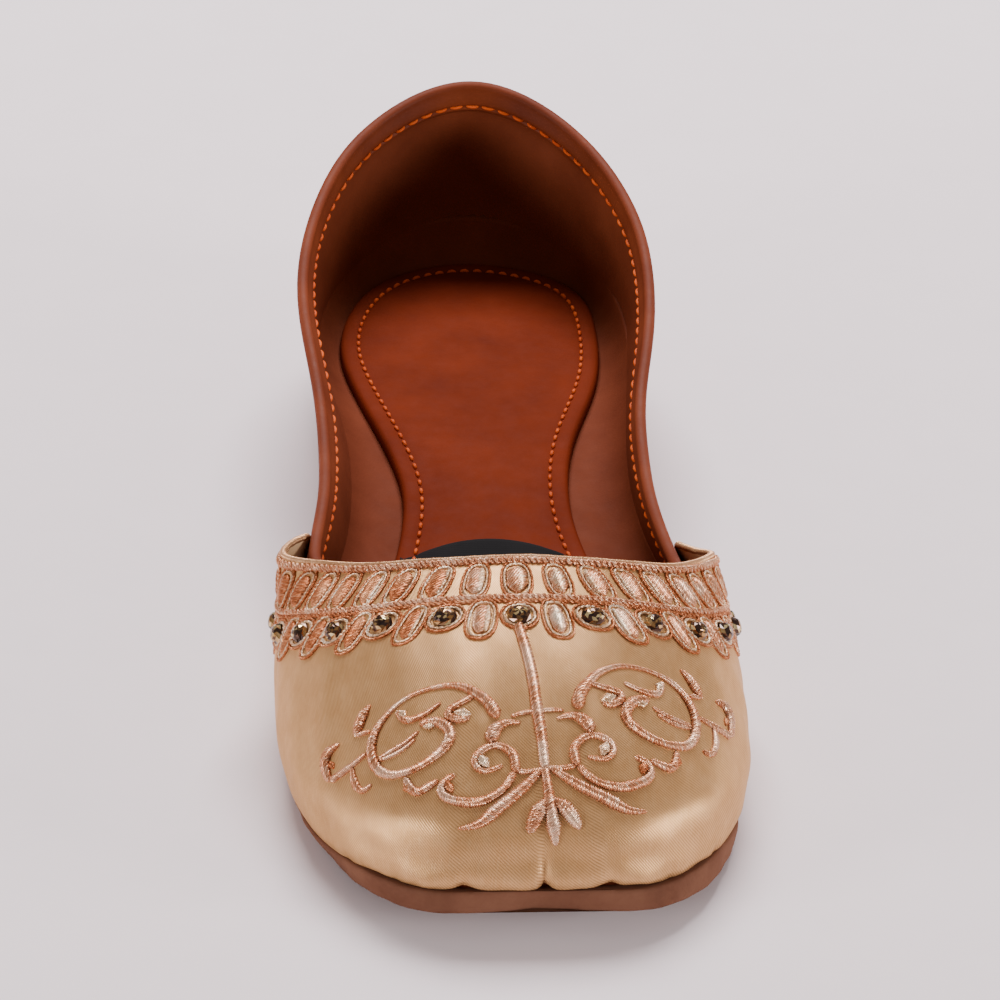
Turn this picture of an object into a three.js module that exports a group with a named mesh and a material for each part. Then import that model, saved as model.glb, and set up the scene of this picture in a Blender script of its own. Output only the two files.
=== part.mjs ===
// A mojari, a flat South Asian slip-on shoe: a brown leather upper on a leather outsole,
// with a satin vamp laid over its front. It is the wearer's left shoe, standing empty on its sole.
// Millimetres. X runs to the outer side of the foot, Y from the toe (-) to the heel (+), Z up from the floor.
import * as THREE from "three";

// Driving dimensions
const LENGTH = 246; // tip of the toe to the back of the heel
const BALL_WIDTH = 91; // across the satin at the ball of the foot
const INSTEP_HEIGHT = 48; // floor to the middle of the throat edge
const BACK_HEIGHT = 58; // floor to the top of the collar behind the heel
const OUTSOLE_THICKNESS = 4.5; // in the forefoot and the waist
const HEEL_LIFT = 5.5; // what the heel adds under the outsole
const TOE_SPRING = 5.8; // rise of the sole's tip above the floor
const UPPER_WALL = 1.8; // leather and lining together
const VAMP_WALL = 1.2; // satin on its backing
const INSOLE_THICKNESS = 2;
const PAD_THICKNESS = 3;
const GAP = 0.3; // between neighbouring pieces

// Where the sole changes along Y, as shares of the length
const SPRING_START = -0.295; // the toe leaves the floor in front of this line
const FOREFOOT_END = -0.09; // the arch leaves the floor behind this line
const WAIST_END = 0.175; // the arch meets the heel's front face
const HEEL_START = 0.2; // the heel stands on the floor behind this line

// Grid sizes of the faceted solids
const UPPER_STEPS = { around: 112, up: 10 };
const VAMP_STEPS = { around: 56, up: 11 };
const SOLE_STEPS = { along: 44, across: 6 };
const PAD_STEPS = { along: 32, across: 4 };

// Sections of the upper round the shoe, each a curve that rises from the foot line on the sole to the top line.
// footX and topX are percent of half the ball width, footY and topY percent of the length. topZ is percent of the
// instep height in front and of the back height behind. rise1 and rise2 are shares of the chord at which the curve's
// two handles stand, and swell1 and swell2 push them outward in millimetres. soleTop and soleBase are how far the
// upper and lower edge of the outsole stand out from the foot line.
const SECTION_COLUMNS =
  "name zone footX footY topX topY topZ rise1 swell1 rise2 swell2 soleTop soleBase";
const SECTIONS = [
  ["toe centre", "front", 5.5, -48.5, 2.2, -26.9, 94.8, 0.08, 12.5, 0.6, 9.5, 1.2, 1.6],
  ["toe outer 1", "front", 43.9, -48.2, 23.1, -26.7, 93.8, 0.08, 12.5, 0.6, 9.0, 2.8, 3.8],
  ["toe outer 2", "front", 71.5, -44.2, 42.8, -26.1, 89.6, 0.1, 12.0, 0.6, 8.5, 2.2, 3.4],
  ["toe outer 3", "front", 88.2, -37.9, 58.1, -25.1, 86.0, 0.12, 10.6, 0.6, 8.0, 1.9, 1.5],
  ["ball outer 1", "front", 92.5, -30.6, 68.5, -23.5, 81.9, 0.15, 8.5, 0.62, 7.0, 1.6, 0.8],
  ["ball outer 2", "front", 92.6, -22.9, 74.2, -20.4, 75.6, 0.2, 6.8, 0.65, 4.5, 1.5, 0.6],
  ["waist outer 1", "back", 89.0, -15.1, 74.5, -16.3, 56.9, 0.28, 5.0, 0.67, 2.0, 1.4, 0.4],
  ["waist outer 2", "back", 80.1, -7.2, 70.2, -8.7, 56.9, 0.33, 3.5, 0.67, 1.0, 1.4, 0.4],
  ["waist outer 3", "back", 71.0, 0.7, 69.8, -0.8, 56.9, 0.33, 2.5, 0.67, 0.5, 1.4, 0.4],
  ["waist outer 4", "back", 66.8, 8.8, 72.5, 7.6, 59.7, 0.33, 2.0, 0.67, 0.5, 1.4, 0.4],
  ["heel outer 1", "back", 67.2, 17.8, 80.3, 17.0, 66.2, 0.33, 2.5, 0.67, 0.5, 1.4, 0.4],
  ["heel outer 2", "back", 71.3, 27.1, 83.2, 27.2, 71.7, 0.33, 3.0, 0.67, 1.0, 1.4, 0.4],
  ["heel outer 3", "back", 68.0, 36.5, 76.0, 36.1, 78.6, 0.33, 3.5, 0.67, 1.5, 1.4, 0.4],
  ["heel outer 4", "back", 44.9, 45.0, 51.1, 44.8, 89.2, 0.33, 3.5, 0.67, 2.0, 1.4, 0.4],
  ["heel centre", "back", 2.2, 48.5, 3.2, 49.3, 98.3, 0.33, 3.5, 0.67, 2.5, 1.4, 0.4],
  ["heel inner 4", "back", -41.6, 45.0, -45.9, 45.2, 90.3, 0.33, 3.5, 0.67, 2.0, 1.4, 0.4],
  ["heel inner 3", "back", -66.7, 36.7, -72.2, 37.4, 79.5, 0.33, 3.5, 0.67, 1.5, 1.4, 0.4],
  ["heel inner 2", "back", -71.0, 27.5, -84.0, 27.6, 72.2, 0.33, 3.0, 0.67, 1.0, 1.4, 0.4],
  ["heel inner 1", "back", -62.7, 18.2, -85.2, 18.0, 67.1, 0.33, 2.5, 0.67, 0.5, 1.4, 0.4],
  ["waist inner 4", "back", -57.9, 9.2, -80.5, 8.8, 60.3, 0.33, 2.5, 0.67, 0.5, 1.4, 0.4],
  ["waist inner 3", "back", -61.6, 0.7, -79.0, -0.5, 56.9, 0.33, 3.0, 0.67, 0.5, 1.4, 0.4],
  ["waist inner 2", "back", -72.5, -7.4, -81.0, -8.4, 56.9, 0.33, 3.5, 0.67, 1.0, 1.4, 0.4],
  ["waist inner 1", "back", -84.7, -15.3, -85.4, -16.0, 56.9, 0.28, 5.0, 0.67, 2.0, 1.4, 0.2],
  ["ball inner 2", "front", -90.7, -23.1, -80.5, -20.2, 75.6, 0.2, 6.6, 0.65, 4.3, 1.5, 0.0],
  ["ball inner 1", "front", -91.2, -30.8, -71.0, -23.3, 81.2, 0.15, 8.8, 0.62, 6.8, 1.6, -0.3],
  ["toe inner 3", "front", -83.9, -38.1, -57.2, -25.1, 86.5, 0.12, 10.5, 0.6, 8.0, 1.7, -0.5],
  ["toe inner 2", "front", -65.2, -44.3, -39.7, -26.1, 90.8, 0.1, 12.0, 0.6, 8.5, 2.0, 1.6],
  ["toe inner 1", "front", -34.8, -48.4, -18.8, -26.7, 93.8, 0.08, 12.5, 0.6, 9.0, 2.6, 3.4],
];

// The vamp's free edge, from its inner to its outer end. section is the section of the upper that it stands on,
// counted from the toe centre, negative on the inner side. x is percent of half the ball width, y percent of the
// length, z percent of the instep height. The edge stands off the upper most at its two corners.
const THROAT_COLUMNS = "name section x y z";
const THROAT = [
  ["inner end", -6.5, -87.5, -12.7, 66.4],
  ["inner curl", -5.75, -93.5, -15.9, 74.6],
  ["inner corner", -5.0, -96.8, -19.2, 79.2],
  ["inner 4", -4.0, -79.7, -21.9, 83.8],
  ["inner 3", -3.0, -61.9, -24.2, 90.0],
  ["inner 2", -2.0, -41.9, -25.3, 95.0],
  ["inner 1", -1.0, -19.8, -26.0, 98.5],
  ["centre", 0.0, 2.2, -26.2, 100.0],
  ["outer 1", 1.0, 23.7, -26.2, 98.8],
  ["outer 2", 2.0, 45.2, -25.7, 95.4],
  ["outer 3", 3.0, 64.8, -24.7, 90.4],
  ["outer 4", 4.0, 78.2, -22.6, 85.4],
  ["outer corner", 5.0, 87.8, -19.7, 80.4],
  ["outer curl", 5.7, 85.5, -16.3, 70.8],
  ["outer end", 6.45, 78.6, -13.1, 62.6],
];
const VAMP_RAKE = 0.05; // how much further back the vamp's side seams end at the sole

// Outline of the sewn sock pad: x is percent of half the ball width, y percent of the length.
const PAD_COLUMNS = "name x y";
const PAD = [
  ["front centre", 2.2, -44.8],
  ["front outer", 45.9, -43.8],
  ["toe outer", 72.5, -37.5],
  ["ball outer", 79.8, -27.8],
  ["ball back outer", 69.1, -17.2],
  ["waist front outer", 50.4, -6.6],
  ["waist outer", 38.9, 3.6],
  ["waist back outer", 43.0, 13.7],
  ["heel front outer", 57.8, 23.9],
  ["heel outer", 62.3, 33.4],
  ["heel back outer", 51.1, 41.9],
  ["back centre", 4.2, 46.1],
  ["heel back inner", -43.1, 42.2],
  ["heel inner", -62.7, 32.8],
  ["heel front inner", -58.6, 23.5],
  ["waist back inner", -44.1, 12.5],
  ["waist inner", -39.2, 4.0],
  ["waist front inner", -49.6, -6.6],
  ["ball back inner", -63.8, -16.4],
  ["ball inner", -73.7, -26.9],
  ["toe inner", -69.2, -37.1],
  ["front inner", -43.0, -43.7],
];

// --- Curves through the tables ---

// A smooth curve through evenly spaced rows of numbers, closed or open: returns a function of the row number.
function curveThrough(rows, closed) {
  const count = rows.length;
  const at = (list, i) =>
    closed ? list[(i + count) % count] : list[Math.min(Math.max(i, 0), count - 1)];
  let slopes = rows.map((row) => row.map(() => 0));
  for (let round = 0; round < 60; round += 1) {
    slopes = rows.map((row, i) =>
      row.map((value, k) => {
        if (closed || (i > 0 && i < count - 1)) {
          const reach = 3 * (at(rows, i + 1)[k] - at(rows, i - 1)[k]);
          return (reach - at(slopes, i - 1)[k] - at(slopes, i + 1)[k]) / 4;
        }
        const step = i === 0 ? 1 : -1;
        return (3 * step * (rows[i + step][k] - value) - slopes[i + step][k]) / 2;
      }),
    );
  }
  return (place) => {
    const p = closed ? ((place % count) + count) % count : place;
    const i = closed ? Math.floor(p) : Math.min(Math.max(Math.floor(p), 0), count - 2);
    const f = p - i;
    return rows[i].map((_, k) => {
      const start = (2 * f ** 3 - 3 * f ** 2 + 1) * rows[i][k] + (f ** 3 - 2 * f ** 2 + f) * slopes[i][k];
      return start + (3 * f ** 2 - 2 * f ** 3) * at(rows, i + 1)[k] + (f ** 3 - f ** 2) * at(slopes, i + 1)[k];
    });
  };
}

// The rows of a table as objects with its named columns.
function named(table, columns) {
  const names = columns.split(" ");
  return table.map((row) => Object.fromEntries(names.map((name, i) => [name, row[i]])));
}

const shareX = (percent) => (percent / 100) * (BALL_WIDTH / 2);
const shareY = (percent) => (percent / 100) * LENGTH;
const smooth = (share) => {
  const s = Math.min(Math.max(share, 0), 1);
  return s * s * (3 - 2 * s);
};

const sectionAt = curveThrough(
  named(SECTIONS, SECTION_COLUMNS).map((s) => [
    shareX(s.footX),
    shareY(s.footY),
    shareX(s.topX),
    shareY(s.topY),
    (s.topZ / 100) * (s.zone === "front" ? INSTEP_HEIGHT : BACK_HEIGHT),
    s.rise1,
    s.swell1,
    s.rise2,
    s.swell2,
    s.soleTop,
    s.soleBase,
  ]),
  true,
);
const throatAt = curveThrough(
  named(THROAT, THROAT_COLUMNS).map((r) => [
    r.section,
    shareX(r.x),
    shareY(r.y),
    (r.z / 100) * INSTEP_HEIGHT,
  ]),
  false,
);
const padAt = curveThrough(
  named(PAD, PAD_COLUMNS).map((r) => [shareX(r.x), shareY(r.y)]),
  true,
);

// --- Heights of the sole along the shoe ---

function toeRise(y) {
  const share = Math.max((SPRING_START * LENGTH - y) / ((0.5 + SPRING_START) * LENGTH), 0);
  return TOE_SPRING * share ** 2;
}
function heelRise(y) {
  return HEEL_LIFT * smooth((y / LENGTH - FOREFOOT_END) / (WAIST_END - FOREFOOT_END));
}
function soleTop(y) {
  return toeRise(y) + heelRise(y) + OUTSOLE_THICKNESS;
}
function soleBase(y) {
  const breast = smooth((y / LENGTH - WAIST_END) / (HEEL_START - WAIST_END));
  return toeRise(y) + heelRise(y) * (1 - breast);
}

// --- The upper's own surface ---

// The level direction that points out of the shoe at a place on a closed plan curve.
function planNormal(curve, place) {
  const step = 1e-3;
  const [ax, ay] = curve(place - step);
  const [bx, by] = curve(place + step);
  return new THREE.Vector3(ay - by, bx - ax, 0).normalize().negate();
}

// The outside of the upper: t is the section, counted round the shoe, and v runs from 0 on the sole to 1 at the top.
// lift carries the top, and with it the upper handle, away from the upper.
const NO_LIFT = new THREE.Vector3();
const LIFT_SHARE = 0.1; // how much of the lift the upper handle takes
function upperPoint(t, v, lift = NO_LIFT) {
  const [footX, footY, topX, topY, topZ, rise1, swell1, rise2, swell2] = sectionAt(t);
  const foot = new THREE.Vector3(footX, footY, soleTop(footY) + GAP);
  const top = new THREE.Vector3(topX, topY, topZ);
  const chord = top.clone().sub(foot);
  const along = chord.clone().normalize();
  const level = planNormal(sectionAt, t);
  const out = level.clone().multiplyScalar(along.z);
  out.z -= along.dot(level);
  const handle = (rise, swell) =>
    foot.clone().addScaledVector(chord, rise).addScaledVector(out, swell);
  const low = handle(rise1, swell1);
  const high = handle(rise2, swell2).addScaledVector(lift, LIFT_SHARE);
  return new THREE.CubicBezierCurve3(foot, low, high, top.add(lift)).getPoint(v);
}

// The direction out of a surface point(t, v): level at the sole, so that what stands off the upper stays above it.
const LEVEL_SHARE = 0.12; // share of the height over which the direction turns from level to square
function outward(point, level, t, v) {
  const step = 1e-3;
  const low = Math.max(v - step, 0);
  const high = Math.min(v + step, 1);
  const across = point(t + step, v).sub(point(t - step, v));
  const up = point(t, high).sub(point(t, low));
  const square = across.cross(up).normalize();
  return level(t).lerp(square, smooth(v / LEVEL_SHARE)).normalize();
}
const footNormal = (t) => planNormal(sectionAt, t);
function offsetPoint(point, level, t, v, distance) {
  const start = point(t, v);
  const moved = start.clone().addScaledVector(outward(point, level, t, v), distance);
  moved.z += (soleTop(moved.y) - soleTop(start.y)) * (1 - smooth(v / LEVEL_SHARE)); // follows the toe spring
  return moved;
}
const upperOffset = (t, v, distance) => offsetPoint(upperPoint, footNormal, t, v, distance);

// The vamp's surface at a distance off the upper: w is the row of the throat table, and v runs up as on the upper.
function vampOffset(w, v, distance) {
  const place = (row, height) => throatAt(row)[0] * (1 + VAMP_RAKE * (1 - height));
  const lifted = (row, height) => {
    const [section, x, y, z] = throatAt(row);
    const lift = new THREE.Vector3(x, y, z).sub(upperOffset(section, 1, GAP + VAMP_WALL));
    return upperPoint(place(row, height), height, lift);
  };
  return offsetPoint(lifted, (row) => footNormal(place(row, 0)), w, v, distance);
}

// --- Solids ---

class Solid {
  constructor() {
    this.points = [];
    this.triangles = [];
  }
  add(point) {
    this.points.push(point.x, point.y, point.z);
    return this.points.length / 3 - 1;
  }
  triangle(a, b, c) {
    if (a !== b && b !== c && c !== a) this.triangles.push(a, b, c);
  }
  quad(a, b, c, d) {
    this.triangle(a, b, c);
    this.triangle(a, c, d);
  }
  geometry() {
    const made = new THREE.BufferGeometry();
    made.setAttribute("position", new THREE.Float32BufferAttribute(this.points, 3));
    made.setIndex(this.triangles);
    made.computeVertexNormals();
    return made;
  }
}

// A wall that follows profile(place), a closed loop of points, from place to place: the ends meet, or are capped.
function sweptWall(profile, steps, closed) {
  const solid = new Solid();
  const stations = closed ? steps : steps + 1;
  const loops = [];
  for (let i = 0; i < stations; i += 1) loops.push(profile(i / steps).map((p) => solid.add(p)));
  const size = loops[0].length;
  for (let i = 0; i < steps; i += 1) {
    const here = loops[i];
    const next = loops[(i + 1) % stations];
    for (let k = 0; k < size; k += 1) {
      const l = (k + 1) % size;
      solid.quad(here[k], next[k], next[l], here[l]);
    }
  }
  if (!closed) {
    for (let k = 0; k < size / 2 - 1; k += 1) {
      const l = size - 1 - k;
      const [first, last] = [loops[0], loops[steps]];
      solid.quad(first[k], first[k + 1], first[l - 1], first[l]);
      solid.quad(last[k + 1], last[k], last[l], last[l - 1]);
    }
  }
  return solid.geometry();
}

// A plate inside a closed outline: rings go from the middle of its underside round its edge to the middle of its top.
// ring(share) gives a point of one ring, with share going once round from the toe, and the two faces are ruled across.
function plate(rings, height, steps) {
  const solid = new Solid();
  const around = steps.along * 2;
  const loops = rings.map((ring) =>
    Array.from({ length: around }, (_, i) => solid.add(ring(i / around))),
  );
  for (let r = 0; r + 1 < loops.length; r += 1) {
    for (let i = 0; i < around; i += 1) {
      const j = (i + 1) % around;
      solid.quad(loops[r][i], loops[r][j], loops[r + 1][j], loops[r + 1][i]);
    }
  }
  const face = (loop, surface, upward) => {
    const pointOf = (index) => new THREE.Vector3().fromArray(solid.points, index * 3);
    const lines = [];
    for (let i = 0; i <= steps.along; i += 1) {
      const right = loop[i];
      const left = loop[(around - i) % around];
      const line = [right];
      for (let k = 1; k < steps.across && right !== left; k += 1) {
        const p = pointOf(right).lerp(pointOf(left), k / steps.across);
        p.z = surface(p.y);
        line.push(solid.add(p));
      }
      while (line.length < steps.across) line.push(right);
      line.push(left);
      lines.push(line);
    }
    for (let i = 0; i < steps.along; i += 1) {
      for (let k = 0; k < steps.across; k += 1) {
        const corners = [lines[i][k], lines[i + 1][k], lines[i + 1][k + 1], lines[i][k + 1]];
        if (!upward) corners.reverse();
        solid.quad(...corners);
      }
    }
  };
  face(loops[0], height.base, false);
  face(loops[loops.length - 1], height.top, true);
  return solid.geometry();
}

// A point of a plan curve pushed out by offset, at the height that a function of y gives.
function planPoint(curve, place, offset, heightAt) {
  const [x, y] = curve(place);
  const p = new THREE.Vector3(x, y, 0).addScaledVector(planNormal(curve, place), offset);
  p.z = heightAt(p.y);
  return p;
}

// --- Pieces ---

const piece = (name, geometry, color, roughness) => {
  const mesh = new THREE.Mesh(
    geometry,
    new THREE.MeshStandardMaterial({ color, roughness, metalness: 0 }),
  );
  mesh.name = name;
  return mesh;
};

// One leather outsole with its heel: flat under the heel and the forefoot, raised at the arch and sprung at the toe.
function outsole() {
  const EDGE = 0.8; // the rounding of the sole's edges
  const edge = (column, inset, heightAt) => (share) => {
    const place = share * SECTIONS.length;
    return planPoint(sectionAt, place, sectionAt(place)[column] - inset, heightAt);
  };
  const [TOP, BASE] = [9, 10]; // the columns of sectionAt with the outsole's two edges
  return plate(
    [
      edge(BASE, EDGE, soleBase),
      edge(BASE, 0, (y) => soleBase(y) + EDGE),
      edge(TOP, 0, (y) => soleTop(y) - EDGE),
      edge(TOP, EDGE / 2, soleTop),
    ],
    { base: soleBase, top: soleTop },
    SOLE_STEPS,
  );
}

// The insole board, which fills the bottom of the shoe inside the upper's wall.
function insole() {
  const LEAN = 0.4; // how far the upper's wall leans in over the board's edge
  const inset = -(UPPER_WALL + LEAN + GAP);
  const base = (y) => soleTop(y) + GAP;
  const top = (y) => base(y) + INSOLE_THICKNESS;
  const edge = (heightAt) => (share) => planPoint(sectionAt, share * SECTIONS.length, inset, heightAt);
  return plate([edge(base), edge(top)], { base, top }, SOLE_STEPS);
}

// The sewn sock pad on the insole, with a rounded edge.
function sockPad() {
  const base = (y) => soleTop(y) + GAP + INSOLE_THICKNESS + GAP;
  const top = (y) => base(y) + PAD_THICKNESS;
  const edge = (inset, share) => (place) =>
    planPoint(padAt, place * PAD.length, -inset, (y) => base(y) + share * PAD_THICKNESS);
  return plate([edge(0.4, 0), edge(0, 0.3), edge(0.5, 0.8), edge(2.2, 1)], { base, top }, PAD_STEPS);
}

// The upper: one wall from the sole to the collar, open above at the collar and underneath.
function upper() {
  const RIM = 0.5; // how far the middle of the top edge stands over its sides
  const profile = (share) => {
    const t = share * SECTIONS.length;
    const heights = Array.from({ length: UPPER_STEPS.up + 1 }, (_, k) => k / UPPER_STEPS.up);
    const outside = heights.map((v) => upperPoint(t, v));
    const inside = heights.map((v) => upperOffset(t, v, -UPPER_WALL)).reverse();
    const rise = outside[UPPER_STEPS.up].clone().sub(outside[UPPER_STEPS.up - 1]).normalize();
    const rim = outside[UPPER_STEPS.up].clone().lerp(inside[0], 0.5).addScaledVector(rise, RIM);
    return [...outside, rim, ...inside];
  };
  return sweptWall(profile, UPPER_STEPS.around, true);
}

// The vamp: a wall between two forms that both follow the upper, and that lift off it towards the throat.
function vamp() {
  const profile = (share) => {
    const w = share * (THROAT.length - 1);
    const heights = Array.from({ length: VAMP_STEPS.up + 1 }, (_, k) => k / VAMP_STEPS.up);
    const outside = heights.map((v) => vampOffset(w, v, GAP + VAMP_WALL));
    const inside = heights.map((v) => vampOffset(w, v, GAP)).reverse();
    return [...outside, ...inside];
  };
  return sweptWall(profile, VAMP_STEPS.around, false);
}

const mojari = new THREE.Group();
mojari.add(
  piece("outsole", outsole(), "#664035", 0.7),
  piece("insole", insole(), "#7a3318", 0.6),
  piece("sock_pad", sockPad(), "#7c2b10", 0.5),
  piece("upper", upper(), "#6b2f1a", 0.5),
  piece("vamp", vamp(), "#cdaa82", 0.4),
);

export default mojari;
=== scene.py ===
"""A mojari, the wearer's left shoe: brown leather upper, satin vamp with thread embroidery, sewn sock pad.

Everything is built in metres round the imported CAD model. The functions below repeat the shoe's own curves, in
millimetres, at a finer step than the CAD solids: X to the outer side, Y from the toe (-) to the heel (+), Z up.
"""

import bpy
import numpy as np
from mathutils import Matrix, Vector
from mathutils.bvhtree import BVHTree


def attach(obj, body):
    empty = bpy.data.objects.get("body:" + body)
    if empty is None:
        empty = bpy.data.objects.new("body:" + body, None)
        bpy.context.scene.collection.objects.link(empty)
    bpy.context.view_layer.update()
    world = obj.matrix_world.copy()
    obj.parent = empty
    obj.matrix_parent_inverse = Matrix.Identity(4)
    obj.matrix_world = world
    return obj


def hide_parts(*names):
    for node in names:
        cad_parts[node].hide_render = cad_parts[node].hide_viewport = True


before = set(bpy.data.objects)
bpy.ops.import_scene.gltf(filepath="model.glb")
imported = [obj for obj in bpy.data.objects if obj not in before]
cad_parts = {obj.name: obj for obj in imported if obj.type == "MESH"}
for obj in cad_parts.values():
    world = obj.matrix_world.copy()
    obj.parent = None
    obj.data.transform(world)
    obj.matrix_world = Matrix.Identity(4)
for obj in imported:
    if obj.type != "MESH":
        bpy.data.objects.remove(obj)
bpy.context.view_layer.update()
RNG = np.random.default_rng(7)

MM = 0.001

# --- Driving dimensions, as in the CAD model (mm) ---

LENGTH = 246.0
BALL_WIDTH = 91.0
INSTEP_HEIGHT = 48.0
BACK_HEIGHT = 58.0
OUTSOLE_THICKNESS = 4.5
HEEL_LIFT = 5.5
TOE_SPRING = 5.8
UPPER_WALL = 1.8
VAMP_WALL = 1.2
INSOLE_THICKNESS = 2.0
PAD_THICKNESS = 3.0
GAP = 0.3
SPRING_START = -0.295
FOREFOOT_END = -0.09
WAIST_END = 0.175
HEEL_START = 0.2
VAMP_RAKE = 0.05
LEVEL_SHARE = 0.12
LIFT_SHARE = 0.1

# Sections round the shoe from the toe centre, outer side first. footX, topX: percent of half the ball width;
# footY, topY: percent of the length; topZ: percent of the instep height in front, of the back height behind.
# Then the curve's two handles (share of the chord, swell in mm) and how far the outsole's edges stand out (mm).
SECTIONS = [
    ("toe centre", "front", 5.5, -48.5, 2.2, -26.9, 94.8, 0.08, 12.5, 0.6, 9.5, 1.2, 1.6),
    ("toe outer 1", "front", 43.9, -48.2, 23.1, -26.7, 93.8, 0.08, 12.5, 0.6, 9.0, 2.8, 3.8),
    ("toe outer 2", "front", 71.5, -44.2, 42.8, -26.1, 89.6, 0.1, 12.0, 0.6, 8.5, 2.2, 3.4),
    ("toe outer 3", "front", 88.2, -37.9, 58.1, -25.1, 86.0, 0.12, 10.6, 0.6, 8.0, 1.9, 1.5),
    ("ball outer 1", "front", 92.5, -30.6, 68.5, -23.5, 81.9, 0.15, 8.5, 0.62, 7.0, 1.6, 0.8),
    ("ball outer 2", "front", 92.6, -22.9, 74.2, -20.4, 75.6, 0.2, 6.8, 0.65, 4.5, 1.5, 0.6),
    ("waist outer 1", "back", 89.0, -15.1, 74.5, -16.3, 56.9, 0.28, 5.0, 0.67, 2.0, 1.4, 0.4),
    ("waist outer 2", "back", 80.1, -7.2, 70.2, -8.7, 56.9, 0.33, 3.5, 0.67, 1.0, 1.4, 0.4),
    ("waist outer 3", "back", 71.0, 0.7, 69.8, -0.8, 56.9, 0.33, 2.5, 0.67, 0.5, 1.4, 0.4),
    ("waist outer 4", "back", 66.8, 8.8, 72.5, 7.6, 59.7, 0.33, 2.0, 0.67, 0.5, 1.4, 0.4),
    ("heel outer 1", "back", 67.2, 17.8, 80.3, 17.0, 66.2, 0.33, 2.5, 0.67, 0.5, 1.4, 0.4),
    ("heel outer 2", "back", 71.3, 27.1, 83.2, 27.2, 71.7, 0.33, 3.0, 0.67, 1.0, 1.4, 0.4),
    ("heel outer 3", "back", 68.0, 36.5, 76.0, 36.1, 78.6, 0.33, 3.5, 0.67, 1.5, 1.4, 0.4),
    ("heel outer 4", "back", 44.9, 45.0, 51.1, 44.8, 89.2, 0.33, 3.5, 0.67, 2.0, 1.4, 0.4),
    ("heel centre", "back", 2.2, 48.5, 3.2, 49.3, 98.3, 0.33, 3.5, 0.67, 2.5, 1.4, 0.4),
    ("heel inner 4", "back", -41.6, 45.0, -45.9, 45.2, 90.3, 0.33, 3.5, 0.67, 2.0, 1.4, 0.4),
    ("heel inner 3", "back", -66.7, 36.7, -72.2, 37.4, 79.5, 0.33, 3.5, 0.67, 1.5, 1.4, 0.4),
    ("heel inner 2", "back", -71.0, 27.5, -84.0, 27.6, 72.2, 0.33, 3.0, 0.67, 1.0, 1.4, 0.4),
    ("heel inner 1", "back", -62.7, 18.2, -85.2, 18.0, 67.1, 0.33, 2.5, 0.67, 0.5, 1.4, 0.4),
    ("waist inner 4", "back", -57.9, 9.2, -80.5, 8.8, 60.3, 0.33, 2.5, 0.67, 0.5, 1.4, 0.4),
    ("waist inner 3", "back", -61.6, 0.7, -79.0, -0.5, 56.9, 0.33, 3.0, 0.67, 0.5, 1.4, 0.4),
    ("waist inner 2", "back", -72.5, -7.4, -81.0, -8.4, 56.9, 0.33, 3.5, 0.67, 1.0, 1.4, 0.4),
    ("waist inner 1", "back", -84.7, -15.3, -85.4, -16.0, 56.9, 0.28, 5.0, 0.67, 2.0, 1.4, 0.2),
    ("ball inner 2", "front", -90.7, -23.1, -80.5, -20.2, 75.6, 0.2, 6.6, 0.65, 4.3, 1.5, 0.0),
    ("ball inner 1", "front", -91.2, -30.8, -71.0, -23.3, 81.2, 0.15, 8.8, 0.62, 6.8, 1.6, -0.3),
    ("toe inner 3", "front", -83.9, -38.1, -57.2, -25.1, 86.5, 0.12, 10.5, 0.6, 8.0, 1.7, -0.5),
    ("toe inner 2", "front", -65.2, -44.3, -39.7, -26.1, 90.8, 0.1, 12.0, 0.6, 8.5, 2.0, 1.6),
    ("toe inner 1", "front", -34.8, -48.4, -18.8, -26.7, 93.8, 0.08, 12.5, 0.6, 9.0, 2.6, 3.4),
]

# The vamp's free edge: the section it stands on, then x, y as above and z in percent of the instep height.
THROAT = [
    ("inner end", -6.5, -87.5, -12.7, 66.4),
    ("inner curl", -5.75, -93.5, -15.9, 74.6),
    ("inner corner", -5.0, -96.8, -19.2, 79.2),
    ("inner 4", -4.0, -79.7, -21.9, 83.8),
    ("inner 3", -3.0, -61.9, -24.2, 90.0),
    ("inner 2", -2.0, -41.9, -25.3, 95.0),
    ("inner 1", -1.0, -19.8, -26.0, 98.5),
    ("centre", 0.0, 2.2, -26.2, 100.0),
    ("outer 1", 1.0, 23.7, -26.2, 98.8),
    ("outer 2", 2.0, 45.2, -25.7, 95.4),
    ("outer 3", 3.0, 64.8, -24.7, 90.4),
    ("outer 4", 4.0, 78.2, -22.6, 85.4),
    ("outer corner", 5.0, 87.8, -19.7, 80.4),
    ("outer curl", 5.7, 85.5, -16.3, 70.8),
    ("outer end", 6.45, 78.6, -13.1, 62.6),
]

# Outline of the sock pad: x in percent of half the ball width, y in percent of the length.
PAD = [
    ("front centre", 2.2, -44.8),
    ("front outer", 45.9, -43.8),
    ("toe outer", 72.5, -37.5),
    ("ball outer", 79.8, -27.8),
    ("ball back outer", 69.1, -17.2),
    ("waist front outer", 50.4, -6.6),
    ("waist outer", 38.9, 3.6),
    ("waist back outer", 43.0, 13.7),
    ("heel front outer", 57.8, 23.9),
    ("heel outer", 62.3, 33.4),
    ("heel back outer", 51.1, 41.9),
    ("back centre", 4.2, 46.1),
    ("heel back inner", -43.1, 42.2),
    ("heel inner", -62.7, 32.8),
    ("heel front inner", -58.6, 23.5),
    ("waist back inner", -44.1, 12.5),
    ("waist inner", -39.2, 4.0),
    ("waist front inner", -49.6, -6.6),
    ("ball back inner", -63.8, -16.4),
    ("ball inner", -73.7, -26.9),
    ("toe inner", -69.2, -37.1),
    ("front inner", -43.0, -43.7),
]

# --- The shoe's curves ---


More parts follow.
